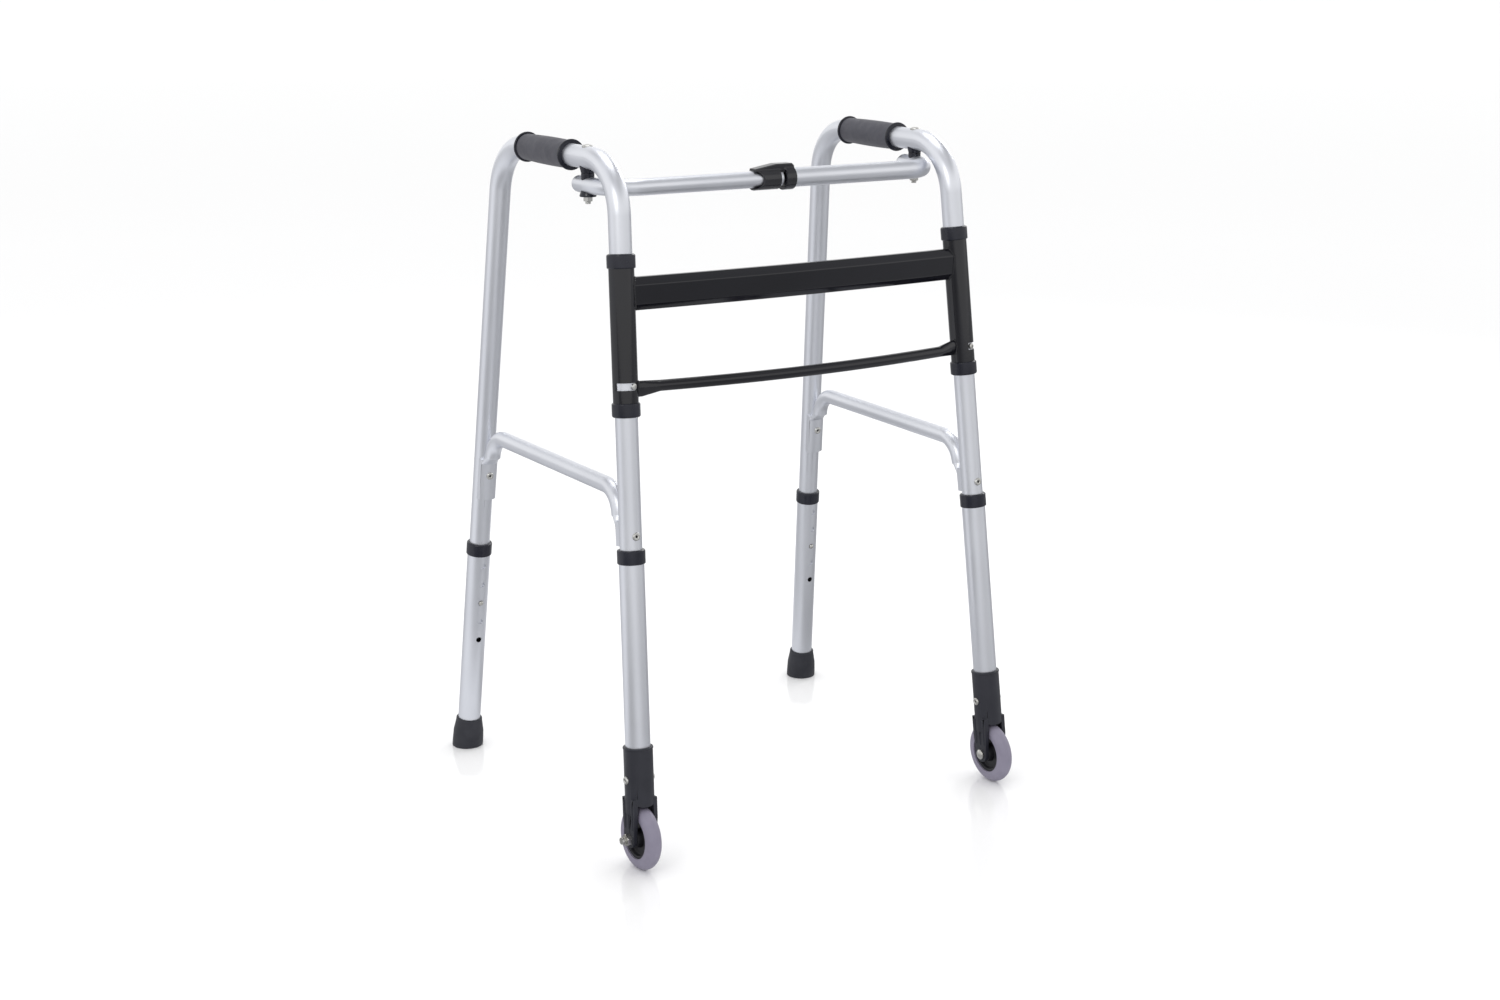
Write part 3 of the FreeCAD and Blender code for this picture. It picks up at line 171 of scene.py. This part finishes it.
# Painted reflection: the room shows the bands only to reflections, and stays plain white to everything else.
mirrored = tree.nodes.new("ShaderNodeBackground")
direction = tree.nodes.new("ShaderNodeTexCoord").outputs["Generated"]
tree.links.new(painted_reflection_ramp(tree, direction), mirrored.inputs["Color"])
height = tree.nodes.new("ShaderNodeSeparateXYZ")
tree.links.new(direction, height.inputs["Vector"])
high = tree.nodes.new("ShaderNodeMapRange")
high.interpolation_type = "SMOOTHSTEP"
high.inputs["From Min"].default_value = PAINTED_REFLECTION_START
high.inputs["From Max"].default_value = PAINTED_REFLECTION_FULL
tree.links.new(height.outputs["Z"], high.inputs["Value"])
both = tree.nodes.new("ShaderNodeMath")
both.operation = "MULTIPLY"
tree.links.new(is_reflection(tree), both.inputs[0])
tree.links.new(high.outputs["Result"], both.inputs[1])
show_painted_reflection(tree, plain.outputs["Background"], mirrored.outputs["Background"], both.outputs["Value"],
               tree.nodes["World Output"].inputs["Surface"])
bpy.context.scene.world = room
bpy.context.scene.view_settings.view_transform = "Standard"
print("cards at", len(PAINTED_REFLECTION_BANDS), "places round the room")

# %% Lamps
def soft_lamp(name, place, aim, size, watts):
    """A square soft box that points at a spot on the frame."""
    light = bpy.data.lights.new(name, "AREA")
    light.size = size
    light.energy = watts
    lamp = bpy.data.objects.new(name, light)
    lamp.location = place
    lamp.rotation_euler = (Vector(aim) - Vector(place)).to_track_quat("-Z", "Y").to_euler()
    bpy.context.scene.collection.objects.link(lamp)


soft_lamp("overhead", (0.2, 0.5, 3.0), (0, 0, 0.4), 1.4, 14)
soft_lamp("key", (-2.6, -1.8, 2.2), (0, 0, 0.5), 0.7, 12)
soft_lamp("rim", (2.4, 1.2, 1.9), (0, 0, 0.5), 0.7, 12)
print(len(bpy.data.lights), "lamps")

# %% [markdown]
# ## Small effects that several finishes share
# No real surface is perfectly even. Moulded plastic has a fine grain, paint has a slight orange peel,
# drawn tube has faint lines along it, and everything has patches where it is a little duller. Each
# effect is a node group: a small machine with named inputs, built once and placed in each finish with
# its own values.

# %% A helper that makes a group
def new_group(name, inputs, outputs):
    """An empty shader node group with number sockets, and its two end nodes."""
    group = bpy.data.node_groups.new(name, "ShaderNodeTree")
    for title, value in inputs:
        socket = group.interface.new_socket(title, in_out="INPUT", socket_type="NodeSocketFloat")
        socket.default_value = value
    for title in outputs:
        group.interface.new_socket(title, in_out="OUTPUT", socket_type="NodeSocketFloat")
    return group, group.nodes.new("NodeGroupInput"), group.nodes.new("NodeGroupOutput")


def own_coordinates(group):
    """The surface's own coordinates, which stay with the part when it moves."""
    return group.nodes.new("ShaderNodeTexCoord").outputs["Object"]


def noise(group, coordinates, detail):
    """A Noise node that reads the given coordinates."""
    node = group.nodes.new("ShaderNodeTexNoise")
    node.inputs["Detail"].default_value = detail
    group.links.new(coordinates, node.inputs["Vector"])
    return node


# %% Patches: a slow change of gloss
patches, start, end = new_group("patches", [("Scale", 12.0), ("Low", 0.3), ("High", 0.4)], ["Value"])
cloud = noise(patches, own_coordinates(patches), 3.0)
spread = patches.nodes.new("ShaderNodeMapRange")
spread.inputs["From Min"].default_value = 0.35
spread.inputs["From Max"].default_value = 0.65
patches.links.new(start.outputs["Scale"], cloud.inputs["Scale"])
patches.links.new(cloud.outputs["Fac"], spread.inputs["Value"])
patches.links.new(start.outputs["Low"], spread.inputs["To Min"])
patches.links.new(start.outputs["High"], spread.inputs["To Max"])
patches.links.new(spread.outputs["Result"], end.inputs["Value"])

# %% Grain: the fine pebbling of a moulding, or the peel of paint
grain, start, end = new_group("grain", [("Scale", 900.0), ("Depth", 1.0)], ["Height"])
pebbles = noise(grain, own_coordinates(grain), 2.0)
deep = grain.nodes.new("ShaderNodeMath")
deep.operation = "MULTIPLY"
grain.links.new(start.outputs["Scale"], pebbles.inputs["Scale"])
grain.links.new(pebbles.outputs["Fac"], deep.inputs[0])
grain.links.new(start.outputs["Depth"], deep.inputs[1])
grain.links.new(deep.outputs["Value"], end.inputs["Height"])

# %% Drawn lines: faint marks left along a tube by the die
drawn, start, end = new_group("drawn lines", [("Fineness", 700.0), ("Stretch", 0.02)], ["Height"])
stretch = drawn.nodes.new("ShaderNodeVectorMath")
stretch.operation = "MULTIPLY"
lengthwise = drawn.nodes.new("ShaderNodeCombineXYZ")
lengthwise.inputs["X"].default_value = 1.0
lengthwise.inputs["Y"].default_value = 1.0
drawn.links.new(start.outputs["Stretch"], lengthwise.inputs["Z"])
drawn.links.new(own_coordinates(drawn), stretch.inputs[0])
drawn.links.new(lengthwise.outputs["Vector"], stretch.inputs[1])
lines = noise(drawn, stretch.outputs["Vector"], 4.0)
drawn.links.new(start.outputs["Fineness"], lines.inputs["Scale"])
drawn.links.new(lines.outputs["Fac"], end.inputs["Height"])
print("groups", patches.name, grain.name, drawn.name)

# %% [markdown]
# ## The finishes
# Each finish is one Principled shader. Numbers that are the same everywhere, such as how metallic it is
# or its specular level, are set straight on the shader. What changes over the surface comes from the
# groups: two close colours mixed in patches, a roughness that wanders, and a fine bump.

# %% A helper that makes a finish
def place_group(material, group, **values):
    """Put a group in a material, with its inputs set by name."""
    node = material.node_tree.nodes.new("ShaderNodeGroup")
    node.node_tree = group
    for title, value in values.items():
        node.inputs[title].default_value = value
    return node


def new_finish(name, colour, worn, gloss, bump, patch_scale=14.0, **constants):
    """A finish with two colours mixed in patches, roughness from gloss[0] to gloss[1], and a fine bump.

    The bump is (group, its values, depth in metres)."""
    material = bpy.data.materials.new(name)
    material.use_nodes = True
    nodes, links = material.node_tree.nodes, material.node_tree.links
    shader = nodes["Principled BSDF"]
    for title, value in constants.items():
        shader.inputs[title.replace("_", " ")].default_value = value
    blend = nodes.new("ShaderNodeMix")
    blend.data_type = "RGBA"
    blend.inputs["A"].default_value = (*colour, 1)
    blend.inputs["B"].default_value = (*worn, 1)
    shade = place_group(material, patches, Scale=patch_scale, Low=0.0, High=1.0)
    links.new(shade.outputs["Value"], blend.inputs["Factor"])
    links.new(blend.outputs["Result"], shader.inputs["Base Color"])
    rough = place_group(material, patches, Scale=patch_scale * 2.3, Low=gloss[0], High=gloss[1])
    links.new(rough.outputs["Value"], shader.inputs["Roughness"])
    group, values, depth = bump
    relief = nodes.new("ShaderNodeBump")
    relief.inputs["Distance"].default_value = depth
    links.new(place_group(material, group, **values).outputs["Height"], relief.inputs["Height"])
    links.new(relief.outputs["Normal"], shader.inputs["Normal"])
    return material


# %% Metals
anodised = new_finish("anodised tube", (0.80, 0.815, 0.86), (0.74, 0.755, 0.80), (0.36, 0.42),
                      (drawn, {"Fineness": 900.0, "Stretch": 0.012}, 0.00001), 6.0, Metallic=1.0)
zinc = new_finish("zinc plated steel", (0.66, 0.66, 0.64), (0.52, 0.51, 0.48), (0.20, 0.36),
                  (grain, {"Scale": 1500.0}, 0.00002), 90.0, Metallic=1.0)
black_paint = new_finish("black paint", (0.0030, 0.0030, 0.0055), (0.0048, 0.0048, 0.0080), (0.07, 0.11),
                         (grain, {"Scale": 260.0}, 0.00002), 8.0, Specular_IOR_Level=0.55)

# %% Mouldings
dark_plastic = new_finish("dark plastic", (0.007, 0.008, 0.015), (0.010, 0.011, 0.020), (0.18, 0.28),
                          (grain, {"Scale": 1100.0}, 0.00003), 30.0, Specular_IOR_Level=0.45)
fork_plastic = new_finish("fork moulding", (0.019, 0.020, 0.029), (0.014, 0.015, 0.023), (0.38, 0.52),
                          (grain, {"Scale": 800.0}, 0.00006), 30.0, Specular_IOR_Level=0.45)
hub_plastic = new_finish("hub moulding", (0.006, 0.006, 0.009), (0.010, 0.010, 0.014), (0.34, 0.46),
                         (grain, {"Scale": 900.0}, 0.00004), 30.0)
clip_plastic = new_finish("clip moulding", (0.008, 0.008, 0.011), (0.013, 0.013, 0.017), (0.12, 0.20),
                          (grain, {"Scale": 600.0}, 0.00003), 30.0, Specular_IOR_Level=0.6)

# %% Soft materials
foam = new_finish("grip foam", (0.050, 0.050, 0.064), (0.064, 0.064, 0.080), (0.72, 0.86),
                  (grain, {"Scale": 800.0, "Depth": 1.0}, 0.00020), 60.0, Sheen_Weight=0.12)
tip_rubber = new_finish("tip rubber", (0.010, 0.011, 0.018), (0.018, 0.019, 0.027), (0.48, 0.62),
                        (grain, {"Scale": 700.0}, 0.00008), 40.0)
tread_rubber = new_finish("tread rubber", (0.262, 0.243, 0.318), (0.230, 0.214, 0.282), (0.42, 0.55),
                          (grain, {"Scale": 500.0}, 0.00006), 35.0)
print(len(bpy.data.materials), "finishes")

# %% [markdown]
# ## Which part gets which finish, and how sharp its edges are
# A part's last word says what it is: the left and right ones share a finish. The second value is the
# radius of the edges in millimetres. Cut tube has a small deburred edge, and a moulding has a larger
# one. The parts in the second list are softened all over instead, and their second value says how many
# times.

# %% Finish and edge of each part
LOOK = {
    "side_tube": (anodised, 0.25), "side_brace": (anodised, 0.35), "arm": (anodised, 0.25),
    "front_leg": (anodised, 0.25), "rear_leg": (anodised, 0.25),
    "sleeve": (black_paint, 0.25), "crossbar": (black_paint, 1.0), "lower_bar": (black_paint, 0.4),
    "bushes": (dark_plastic, 0.5), "front_collar": (dark_plastic, 0.5), "rear_collar": (dark_plastic, 0.5),
    "handle_cradle": (dark_plastic, 0.4), "arm_cradles": (dark_plastic, 0.4),
    "fork": (fork_plastic, 0.5), "hub": (hub_plastic, 0.6), "tyre": (tread_rubber, 0.4),
    "brace_rivets": (zinc, 0.15), "stop_screw": (zinc, 0.15),
    "pivot_bolt": (zinc, 0.2), "pivot_nut": (zinc, 0.2), "fork_rivet": (zinc, 0.15),
    "axle_bolt": (zinc, 0.25), "axle_nut": (zinc, 0.2),
    "front_button": (zinc, 0.1), "rear_button": (zinc, 0.1),
}
SOFT_LOOK = {"arm_clip": (clip_plastic, 6), "rear_tip": (tip_rubber, 14)}
SLOTS = {part["node"]: part["material_slot"] for part in frame["record"]["subparts"]}
BODY_OF = {node: body for body, nodes in frame["record"]["behaviour"]["bodies"].items() for node in nodes}


def kind(node):
    """A part's name without its side."""
    for side in SIDES:
        node = node.removeprefix(side + "_")
    return node


# %% [markdown]
# ## Rounding the edges
# A modelled edge is perfectly sharp, and a real one never is: it has a small radius that catches a line
# of light. The copy of each part is first cleaned, since it arrives as loose triangles. Then the Bevel
# modifier rounds only the edges where two faces meet at a clear angle, and smooth shading does the
# rest.

# %% Clean, round and smooth a part
SHARP = math.radians(32)       # a steeper turn than this between two faces is an edge
FLAT = math.radians(0.4)       # a smaller turn than this is no turn at all
SAME_PLACE = 2e-6


def cleaned(node):
    """A merged copy of a part's mesh, with flat areas joined into single faces."""
    mesh = NODES[node].data.copy()
    work = bmesh.new()
    work.from_mesh(mesh)
    bmesh.ops.remove_doubles(work, verts=work.verts, dist=SAME_PLACE)
    bmesh.ops.dissolve_limit(work, angle_limit=FLAT, verts=work.verts, edges=work.edges)
    work.to_mesh(mesh)
    work.free()
    mesh.materials.clear()
    return mesh


def baked(thing):
    """The plain mesh that an object's modifiers give, with the modifiers removed."""
    bpy.context.view_layer.update()
    evaluated = thing.evaluated_get(bpy.context.evaluated_depsgraph_get())
    mesh = bpy.data.meshes.new_from_object(evaluated)
    thing.modifiers.clear()
    thing.data = mesh
    return thing


def smooth(mesh):
    """Shade a mesh smoothly, except across its sharp edges."""
    mesh.shade_smooth()
    mesh.set_sharp_from_angle(angle=SHARP)


def even_shading(piece):
    """Let the large faces decide the shading, so that no streak runs from a small hole down a long tube."""
    weigh = piece.modifiers.new("even shading", "WEIGHTED_NORMAL")
    weigh.keep_sharp = True
    return baked(piece)


def stands_for(piece, node, finish):
    """Give a piece its finish, and let it take a part's place."""
    piece.data.materials.clear()
    piece.data.materials.append(finish)
    smooth(piece.data)
    even_shading(piece)
    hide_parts(node)
    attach(piece, BODY_OF[node])
    return piece


def rounded(node, finish, edge):
    """A finished piece that stands for a part, with its edges rounded."""
    piece = bpy.data.objects.new(node + "_finished", cleaned(node))
    bpy.context.scene.collection.objects.link(piece)
    bevel = piece.modifiers.new("edges", "BEVEL")
    bevel.width = edge * MM
    bevel.segments = 2
    bevel.limit_method = "ANGLE"
    bevel.angle_limit = SHARP
    # Only the small steel parts have edges so close together that their bevels could cross.
    bevel.use_clamp_overlap = finish is zinc
    return stands_for(baked(piece), node, finish)


# %% [markdown]
# A bevel can't help where a part ends in thin horns, as the clip does, or where a rubber moulding has
# no edge at all, only a slow change of shape. Those parts are rebuilt on a fine grid and then relaxed,
# which wears every corner down the way a mould's own radii do. Its outside can only get smaller, so it
# still fits in its place.

# %% Rebuild and relax a moulding
GRID = 0.5 * MM


def moulded(node, finish, passes):
    """A finished piece on a fine even grid, with all its corners softened."""
    piece = bpy.data.objects.new(node + "_finished", cleaned(node))
    bpy.context.scene.collection.objects.link(piece)
    grid = piece.modifiers.new("grid", "REMESH")
    grid.mode = "VOXEL"
    grid.voxel_size = GRID
    relax = piece.modifiers.new("relax", "SMOOTH")
    relax.factor = 0.5
    relax.iterations = passes
    return stands_for(baked(piece), node, finish)


# %% Round every part that shows
PIECES = {}
for node in NODES:
    if kind(node) in LOOK:
        PIECES[node] = rounded(node, *LOOK[kind(node)])
    elif kind(node) in SOFT_LOOK:
        PIECES[node] = moulded(node, *SOFT_LOOK[kind(node)])
print(len(PIECES), "parts rounded,", sum(len(p.data.polygons) for p in PIECES.values()), "faces")

# %% [markdown]
# ## The leaf springs
# Each push button sits on a leaf spring inside its tube. Each spring is replaced by a cleaned copy in
# zinc with smooth shading, which stays where the spring is.

# %% A zinc copy of each spring
for side in SIDES:
    for place in ("front", "rear"):
        node = f"{side}_{place}_spring"
        spring = bpy.data.objects.new(node + "_finished", cleaned(node))
        bpy.context.scene.collection.objects.link(spring)
        spring.data.materials.append(zinc)
        smooth(spring.data)
        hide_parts(node)
        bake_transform(spring)

# %% [markdown]
# ## Screw threads that are really cut
# A bolt's thread is a ridge that winds round its end. It could be painted on with a bump, but then its
# outline stays straight, which the eye notices at once. A spiral curve with a small four-sided profile
# swept along it gives the true shape. One Geometry Nodes tree serves every bolt: it takes the thread's
# radius, its pitch, how many turns it has, and where it goes.

# %% Small helpers for node trees
def new_tree(name, inputs):
    """A Geometry Nodes tree with named inputs. Each input is (name, kind of socket, default)."""
    tree = bpy.data.node_groups.new(name, "GeometryNodeTree")
    for title, kind_of_socket, value in inputs:
        socket = tree.interface.new_socket(title, in_out="INPUT", socket_type=kind_of_socket)
        if value is not None:
            socket.default_value = value
    tree.interface.new_socket("Geometry", in_out="OUTPUT", socket_type="NodeSocketGeometry")
    return tree, tree.nodes.new("NodeGroupInput"), tree.nodes.new("NodeGroupOutput")


def add(tree, node_type, **sockets):
    """Add a node. Each named socket gets a link from a socket, or a plain value."""
    node = tree.nodes.new(node_type)
    for title, value in sockets.items():
        socket = node.inputs[title.replace("_", " ")]
        if isinstance(value, bpy.types.NodeSocket):
            tree.links.new(value, socket)
        else:
            socket.default_value = value
    return node


def calculate(tree, operation, first, second):
    """A Math node on two sockets or numbers."""
    node = tree.nodes.new("ShaderNodeMath")
    node.operation = operation
    for socket, value in zip(node.inputs, (first, second)):
        if isinstance(value, bpy.types.NodeSocket):
            tree.links.new(value, socket)
        else:
            socket.default_value = value
    return node.outputs["Value"]


def close_tree(tree, end, geometry, finish):
    """Every tree ends the same way: real faces, then a finish."""
    real = add(tree, "GeometryNodeRealizeInstances", Geometry=geometry)
    dressed = add(tree, "GeometryNodeSetMaterial", Geometry=real.outputs["Geometry"], Material=finish)
    tree.links.new(dressed.outputs["Geometry"], end.inputs["Geometry"])


def grow(name, tree, body, slot, mesh=None, **values):
    """Run a tree with its inputs set by name, and keep the plain mesh that comes out."""
    piece = bpy.data.objects.new(name, mesh or bpy.data.meshes.new(name))
    bpy.context.scene.collection.objects.link(piece)
    modifier = piece.modifiers.new("made by", "NODES")
    modifier.node_group = tree
    sockets = {item.name: item.identifier for item in tree.interface.items_tree if item.in_out == "INPUT"}
    for title, value in values.items():
        modifier[sockets[title.replace("_", " ")]] = value
    baked(piece)
    smooth(piece.data)
    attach(piece, body)
    return piece


# %% The thread tree
CREST = 0.42                   # the ridge's radius, as a share of the pitch
thread, start, end = new_tree("screw thread", [
    ("Radius", "NodeSocketFloat", 0.004), ("Pitch", "NodeSocketFloat", 0.001),
    ("Turns", "NodeSocketFloat", 4.0), ("Place", "NodeSocketVector", None),
    ("Turned", "NodeSocketVector", None)])
height = calculate(thread, "MULTIPLY", start.outputs["Pitch"], start.outputs["Turns"])
spiral = add(thread, "GeometryNodeCurveSpiral", Resolution=28, Rotations=start.outputs["Turns"],
             Start_Radius=start.outputs["Radius"], End_Radius=start.outputs["Radius"], Height=height)
crest = calculate(thread, "MULTIPLY", start.outputs["Pitch"], CREST)
ridge = add(thread, "GeometryNodeCurvePrimitiveCircle", Resolution=4, Radius=crest)
wound = add(thread, "GeometryNodeCurveToMesh", Curve=spiral.outputs["Curve"],
            Profile_Curve=ridge.outputs["Curve"], Fill_Caps=True)
set_down = add(thread, "GeometryNodeTransform", Geometry=wound.outputs["Mesh"],
               Translation=start.outputs["Place"], Rotation=start.outputs["Turned"])
close_tree(thread, end, set_down.outputs["Geometry"], zinc)

# %% [markdown]
# The thread needs to know where each bolt is and which way it points. The wheel's joint gives the
# axle's line, and the arm's joint gives the pivot bolt's line. How far a bolt sticks out past its nut
# is read from the two parts' own boxes.

# %% Thread every axle and pivot bolt
AXLE_R = 4.0 * MM
PIVOT_R = 3.0 * MM
PITCH = 1.0 * MM
SUNK = 0.12                    # how deep the ridge's root lies in the bolt, as a share of the pitch
FIRST_TURN = 0.3               # how far past the nut the ridge starts, as a share of the pitch


def along(point, axis, node):
    """The nearest and furthest distance of a part along a line, measured from its points."""
    reach = [(v.co - point).dot(axis) for v in NODES[node].data.vertices]
    return min(reach), max(reach)


def cut_thread(name, point, axis, bolt, nut, radius):
    """A thread on the tail that shows past the nut."""
    _, tail = along(point, axis, bolt)
    _, nut_face = along(point, axis, nut)
    turns = (tail - nut_face - PITCH) / PITCH
    turned_to = axis.to_track_quat("Z", "Y").to_euler()
    place = point + axis * (nut_face + PITCH * FIRST_TURN)
    return grow(name, thread, BODY_OF[bolt], SLOTS[bolt], Radius=radius - PITCH * SUNK, Pitch=PITCH,
                Turns=turns, Place=place, Turned=turned_to)


threads = []
for side, sign in SIDES.items():
    spin = JOINTS[side + "_wheel_spin"]
    outward = Vector(spin["axis"]) * sign
    threads.append(cut_thread(side + "_axle_thread", Vector(spin["pos_m"]), outward,
                              side + "_axle_bolt", side + "_axle_nut", AXLE_R))
    hinge = JOINTS[side + "_arm_swing"]
    threads.append(cut_thread(side + "_pivot_thread", Vector(hinge["pos_m"]), Vector((0, 0, -1)),
                              side + "_pivot_bolt", side + "_pivot_nut", PIVOT_R))
print(len(threads), "threads,", [len(t.data.polygons) for t in threads], "faces")

# %% [markdown]
# ## Weld beads where the bars meet the sleeves
# The crossbar and the lower bar are welded to the sleeves, then painted over. A weld is a row of small
# overlapping drops. The seam is found on the parts themselves: it is every edge of a bar whose two ends
# lie on the sleeve's round wall. A tree turns those edges into a curve, walks along it and drops a
# small ball at every step, each a slightly different size, always the same because the seed
# is fixed.

# %% The weld tree
SMALLEST_DROP = 0.85
LARGEST_DROP = 1.15
weld, start, end = new_tree("weld bead", [
    ("Seam", "NodeSocketGeometry", None), ("Size", "NodeSocketFloat", 0.0012),
    ("Step", "NodeSocketFloat", 0.0014), ("Seed", "NodeSocketInt", 3)])
seam_line = add(weld, "GeometryNodeMeshToCurve", Mesh=start.outputs["Seam"])
steps = weld.nodes.new("GeometryNodeResampleCurve")
steps.mode = "LENGTH"
weld.links.new(seam_line.outputs["Curve"], steps.inputs["Curve"])
weld.links.new(start.outputs["Step"], steps.inputs["Length"])
drop = add(weld, "GeometryNodeMeshIcoSphere", Radius=start.outputs["Size"], Subdivisions=2)
uneven = weld.nodes.new("FunctionNodeRandomValue")
uneven.data_type = "FLOAT"
uneven.inputs[2].default_value = SMALLEST_DROP
uneven.inputs[3].default_value = LARGEST_DROP
weld.links.new(start.outputs["Seed"], uneven.inputs["Seed"])
row = add(weld, "GeometryNodeInstanceOnPoints", Points=steps.outputs["Curve"],
          Instance=drop.outputs["Mesh"])
weld.links.new(uneven.outputs[1], row.inputs["Scale"])
close_tree(weld, end, row.outputs["Instances"], black_paint)


# %% Find each seam and weld it
ON_WALL = 0.05 * MM            # a point this near to the sleeve's wall lies on it


def faces_away(edge, heart):
    """True on the outside of a hollow bar, and false on the edge of its bore."""
    middle = (edge.verts[0].co + edge.verts[1].co) / 2
    return sum((face.normal for face in edge.link_faces), Vector()).dot(middle - heart) > 0


def seam(bar, side):
    """The edges of a bar that lie on a sleeve's round wall, as a mesh of loose edges."""
    fold = JOINTS[side + "_fold"]
    foot, axis = Vector(fold["pos_m"]), Vector(fold["axis"]).normalized()

    def from_axis(co):
        """How far a point is from the line the side frame folds about, which is the sleeve's axis."""
        offset = co - foot
        return (offset - axis * offset.dot(axis)).length

    wall = max(from_axis(v.co) for v in NODES[side + "_sleeve"].data.vertices)
    work = bmesh.new()
    work.from_mesh(cleaned(bar))
    rim = [e for e in work.edges if all(abs(from_axis(v.co) - wall) < ON_WALL for v in e.verts)
           and len(e.link_faces) == 2 and e.calc_face_angle() > SHARP]
    ends = [v.co for e in rim for v in e.verts]
    heart = sum(ends, Vector()) / len(ends)
    rim = [e for e in rim if faces_away(e, heart)]
    used = sorted({v for e in rim for v in e.verts}, key=lambda v: v.index)
    place = {v.index: n for n, v in enumerate(used)}
    points = [v.co.copy() for v in used]
    line = bpy.data.meshes.new(bar + "_" + side + "_seam")
    line.from_pydata(points, [[place[v.index] for v in e.verts] for e in rim], [])
    work.free()
    return line


beads = []
for bar in ("crossbar", "lower_bar"):
    for side in SIDES:
        edge_line = seam(bar, side)
        beads.append(grow(side + "_" + bar + "_weld", weld, BODY_OF[bar], SLOTS[bar], edge_line))
        print(beads[-1].name, len(edge_line.edges), "seam edges,", len(beads[-1].data.polygons), "faces")

# %% [markdown]
# ## The grips, grown from a rule
# A grip is round everywhere, and only its radius changes along its length: a raised rim, a soft body
# that swells in the middle, and a second rim. That is a rule, so a tree can follow it. A straight curve
# runs along the handle, each of its points gets a radius from how far along it lies, and a circle is
# swept along it. The soft body and the hard rims are made by the same tree with different values, since
# they are different materials.

# %% The turned-shape tree
turned, start, end = new_tree("turned shape", [
    ("From", "NodeSocketVector", None), ("To", "NodeSocketVector", None),
    ("Front radius", "NodeSocketFloat", 0.0157), ("Rear radius", "NodeSocketFloat", 0.0151),
    ("Belly", "NodeSocketFloat", 0.0008), ("Edge", "NodeSocketFloat", 0.001),
    ("Round share", "NodeSocketFloat", 0.05), ("Finish", "NodeSocketMaterial", None)])
axis_line = add(turned, "GeometryNodeCurvePrimitiveLine", Start=start.outputs["From"],
                End=start.outputs["To"])
fine = add(turned, "GeometryNodeResampleCurve", Curve=axis_line.outputs["Curve"], Count=96)
share = turned.nodes.new("GeometryNodeSplineParameter").outputs["Factor"]
change = calculate(turned, "SUBTRACT", start.outputs["Rear radius"], start.outputs["Front radius"])
slope = calculate(turned, "ADD", start.outputs["Front radius"],
                  calculate(turned, "MULTIPLY", change, share))
wave = calculate(turned, "SINE", calculate(turned, "MULTIPLY", share, math.pi), 0.0)
swell = calculate(turned, "ADD", slope, calculate(turned, "MULTIPLY", start.outputs["Belly"], wave))
from_end = calculate(turned, "MINIMUM", share, calculate(turned, "SUBTRACT", 1.0, share))
into = calculate(turned, "DIVIDE", from_end, start.outputs["Round share"])
missing = calculate(turned, "SUBTRACT", 1.0, calculate(turned, "MINIMUM", into, 1.0))
square = calculate(turned, "MULTIPLY", missing, missing)
radius = calculate(turned, "SUBTRACT", swell, calculate(turned, "MULTIPLY", start.outputs["Edge"], square))
shaped = add(turned, "GeometryNodeSetCurveRadius", Curve=fine.outputs["Curve"], Radius=radius)
round_section = add(turned, "GeometryNodeCurvePrimitiveCircle", Resolution=96, Radius=1.0)
skin = add(turned, "GeometryNodeCurveToMesh", Curve=shaped.outputs["Curve"],
           Profile_Curve=round_section.outputs["Curve"], Fill_Caps=True, Scale=radius)
close_tree(turned, end, skin.outputs["Mesh"], start.outputs["Finish"])

# %% Grow both grips
RIM_THICK = 3.2 * MM
RIM_R = 17.5 * MM
BODY_FRONT_R = 15.7 * MM
BODY_REAR_R = 15.1 * MM
TUCK = 0.6                     # how much of each rim's thickness the soft body starts after


def grip_line(side):
    """The two ends of a grip on the handle's line, worked out from the grip's own points."""
    points = [v.co for v in NODES[side + "_grip"].data.vertices]
    middle = sum(points, Vector()) / len(points)
    front = [p for p in points if p.y < min(q.y for q in points) + RIM_THICK / 2]
    rear = [p for p in points if p.y > max(q.y for q in points) - RIM_THICK / 2]
    ends = [sum(part, Vector()) / len(part) for part in (front, rear)]
    way = (ends[1] - ends[0]).normalized()
    reach = [(p - middle).dot(way) for p in points]
    heart = ends[0] + way * (middle - ends[0]).dot(way)
    return heart + way * min(reach), heart + way * max(reach)


for side in SIDES:
    node = side + "_grip"
    front, rear = grip_line(side)
    way = (rear - front).normalized()
    body = grow(side + "_grip_body", turned, BODY_OF[node], SLOTS[node],
                From=front + way * RIM_THICK * TUCK, To=rear - way * RIM_THICK * TUCK,
                Front_radius=BODY_FRONT_R, Rear_radius=BODY_REAR_R,
                Belly=0.8 * MM, Edge=0.0, Round_share=0.05, Finish=foam)
    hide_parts(node)
    for word, place in (("front", front), ("rear", rear - way * RIM_THICK)):
        grow(side + "_grip_" + word + "_rim", turned, BODY_OF[node], SLOTS[node], From=place,
             To=place + way * RIM_THICK, Front_radius=RIM_R, Rear_radius=RIM_R, Belly=0.0,
             Edge=0.9 * MM, Round_share=0.3, Finish=dark_plastic)
    print(side, "grip", round((rear - front).length * 1000, 1), "mm long")
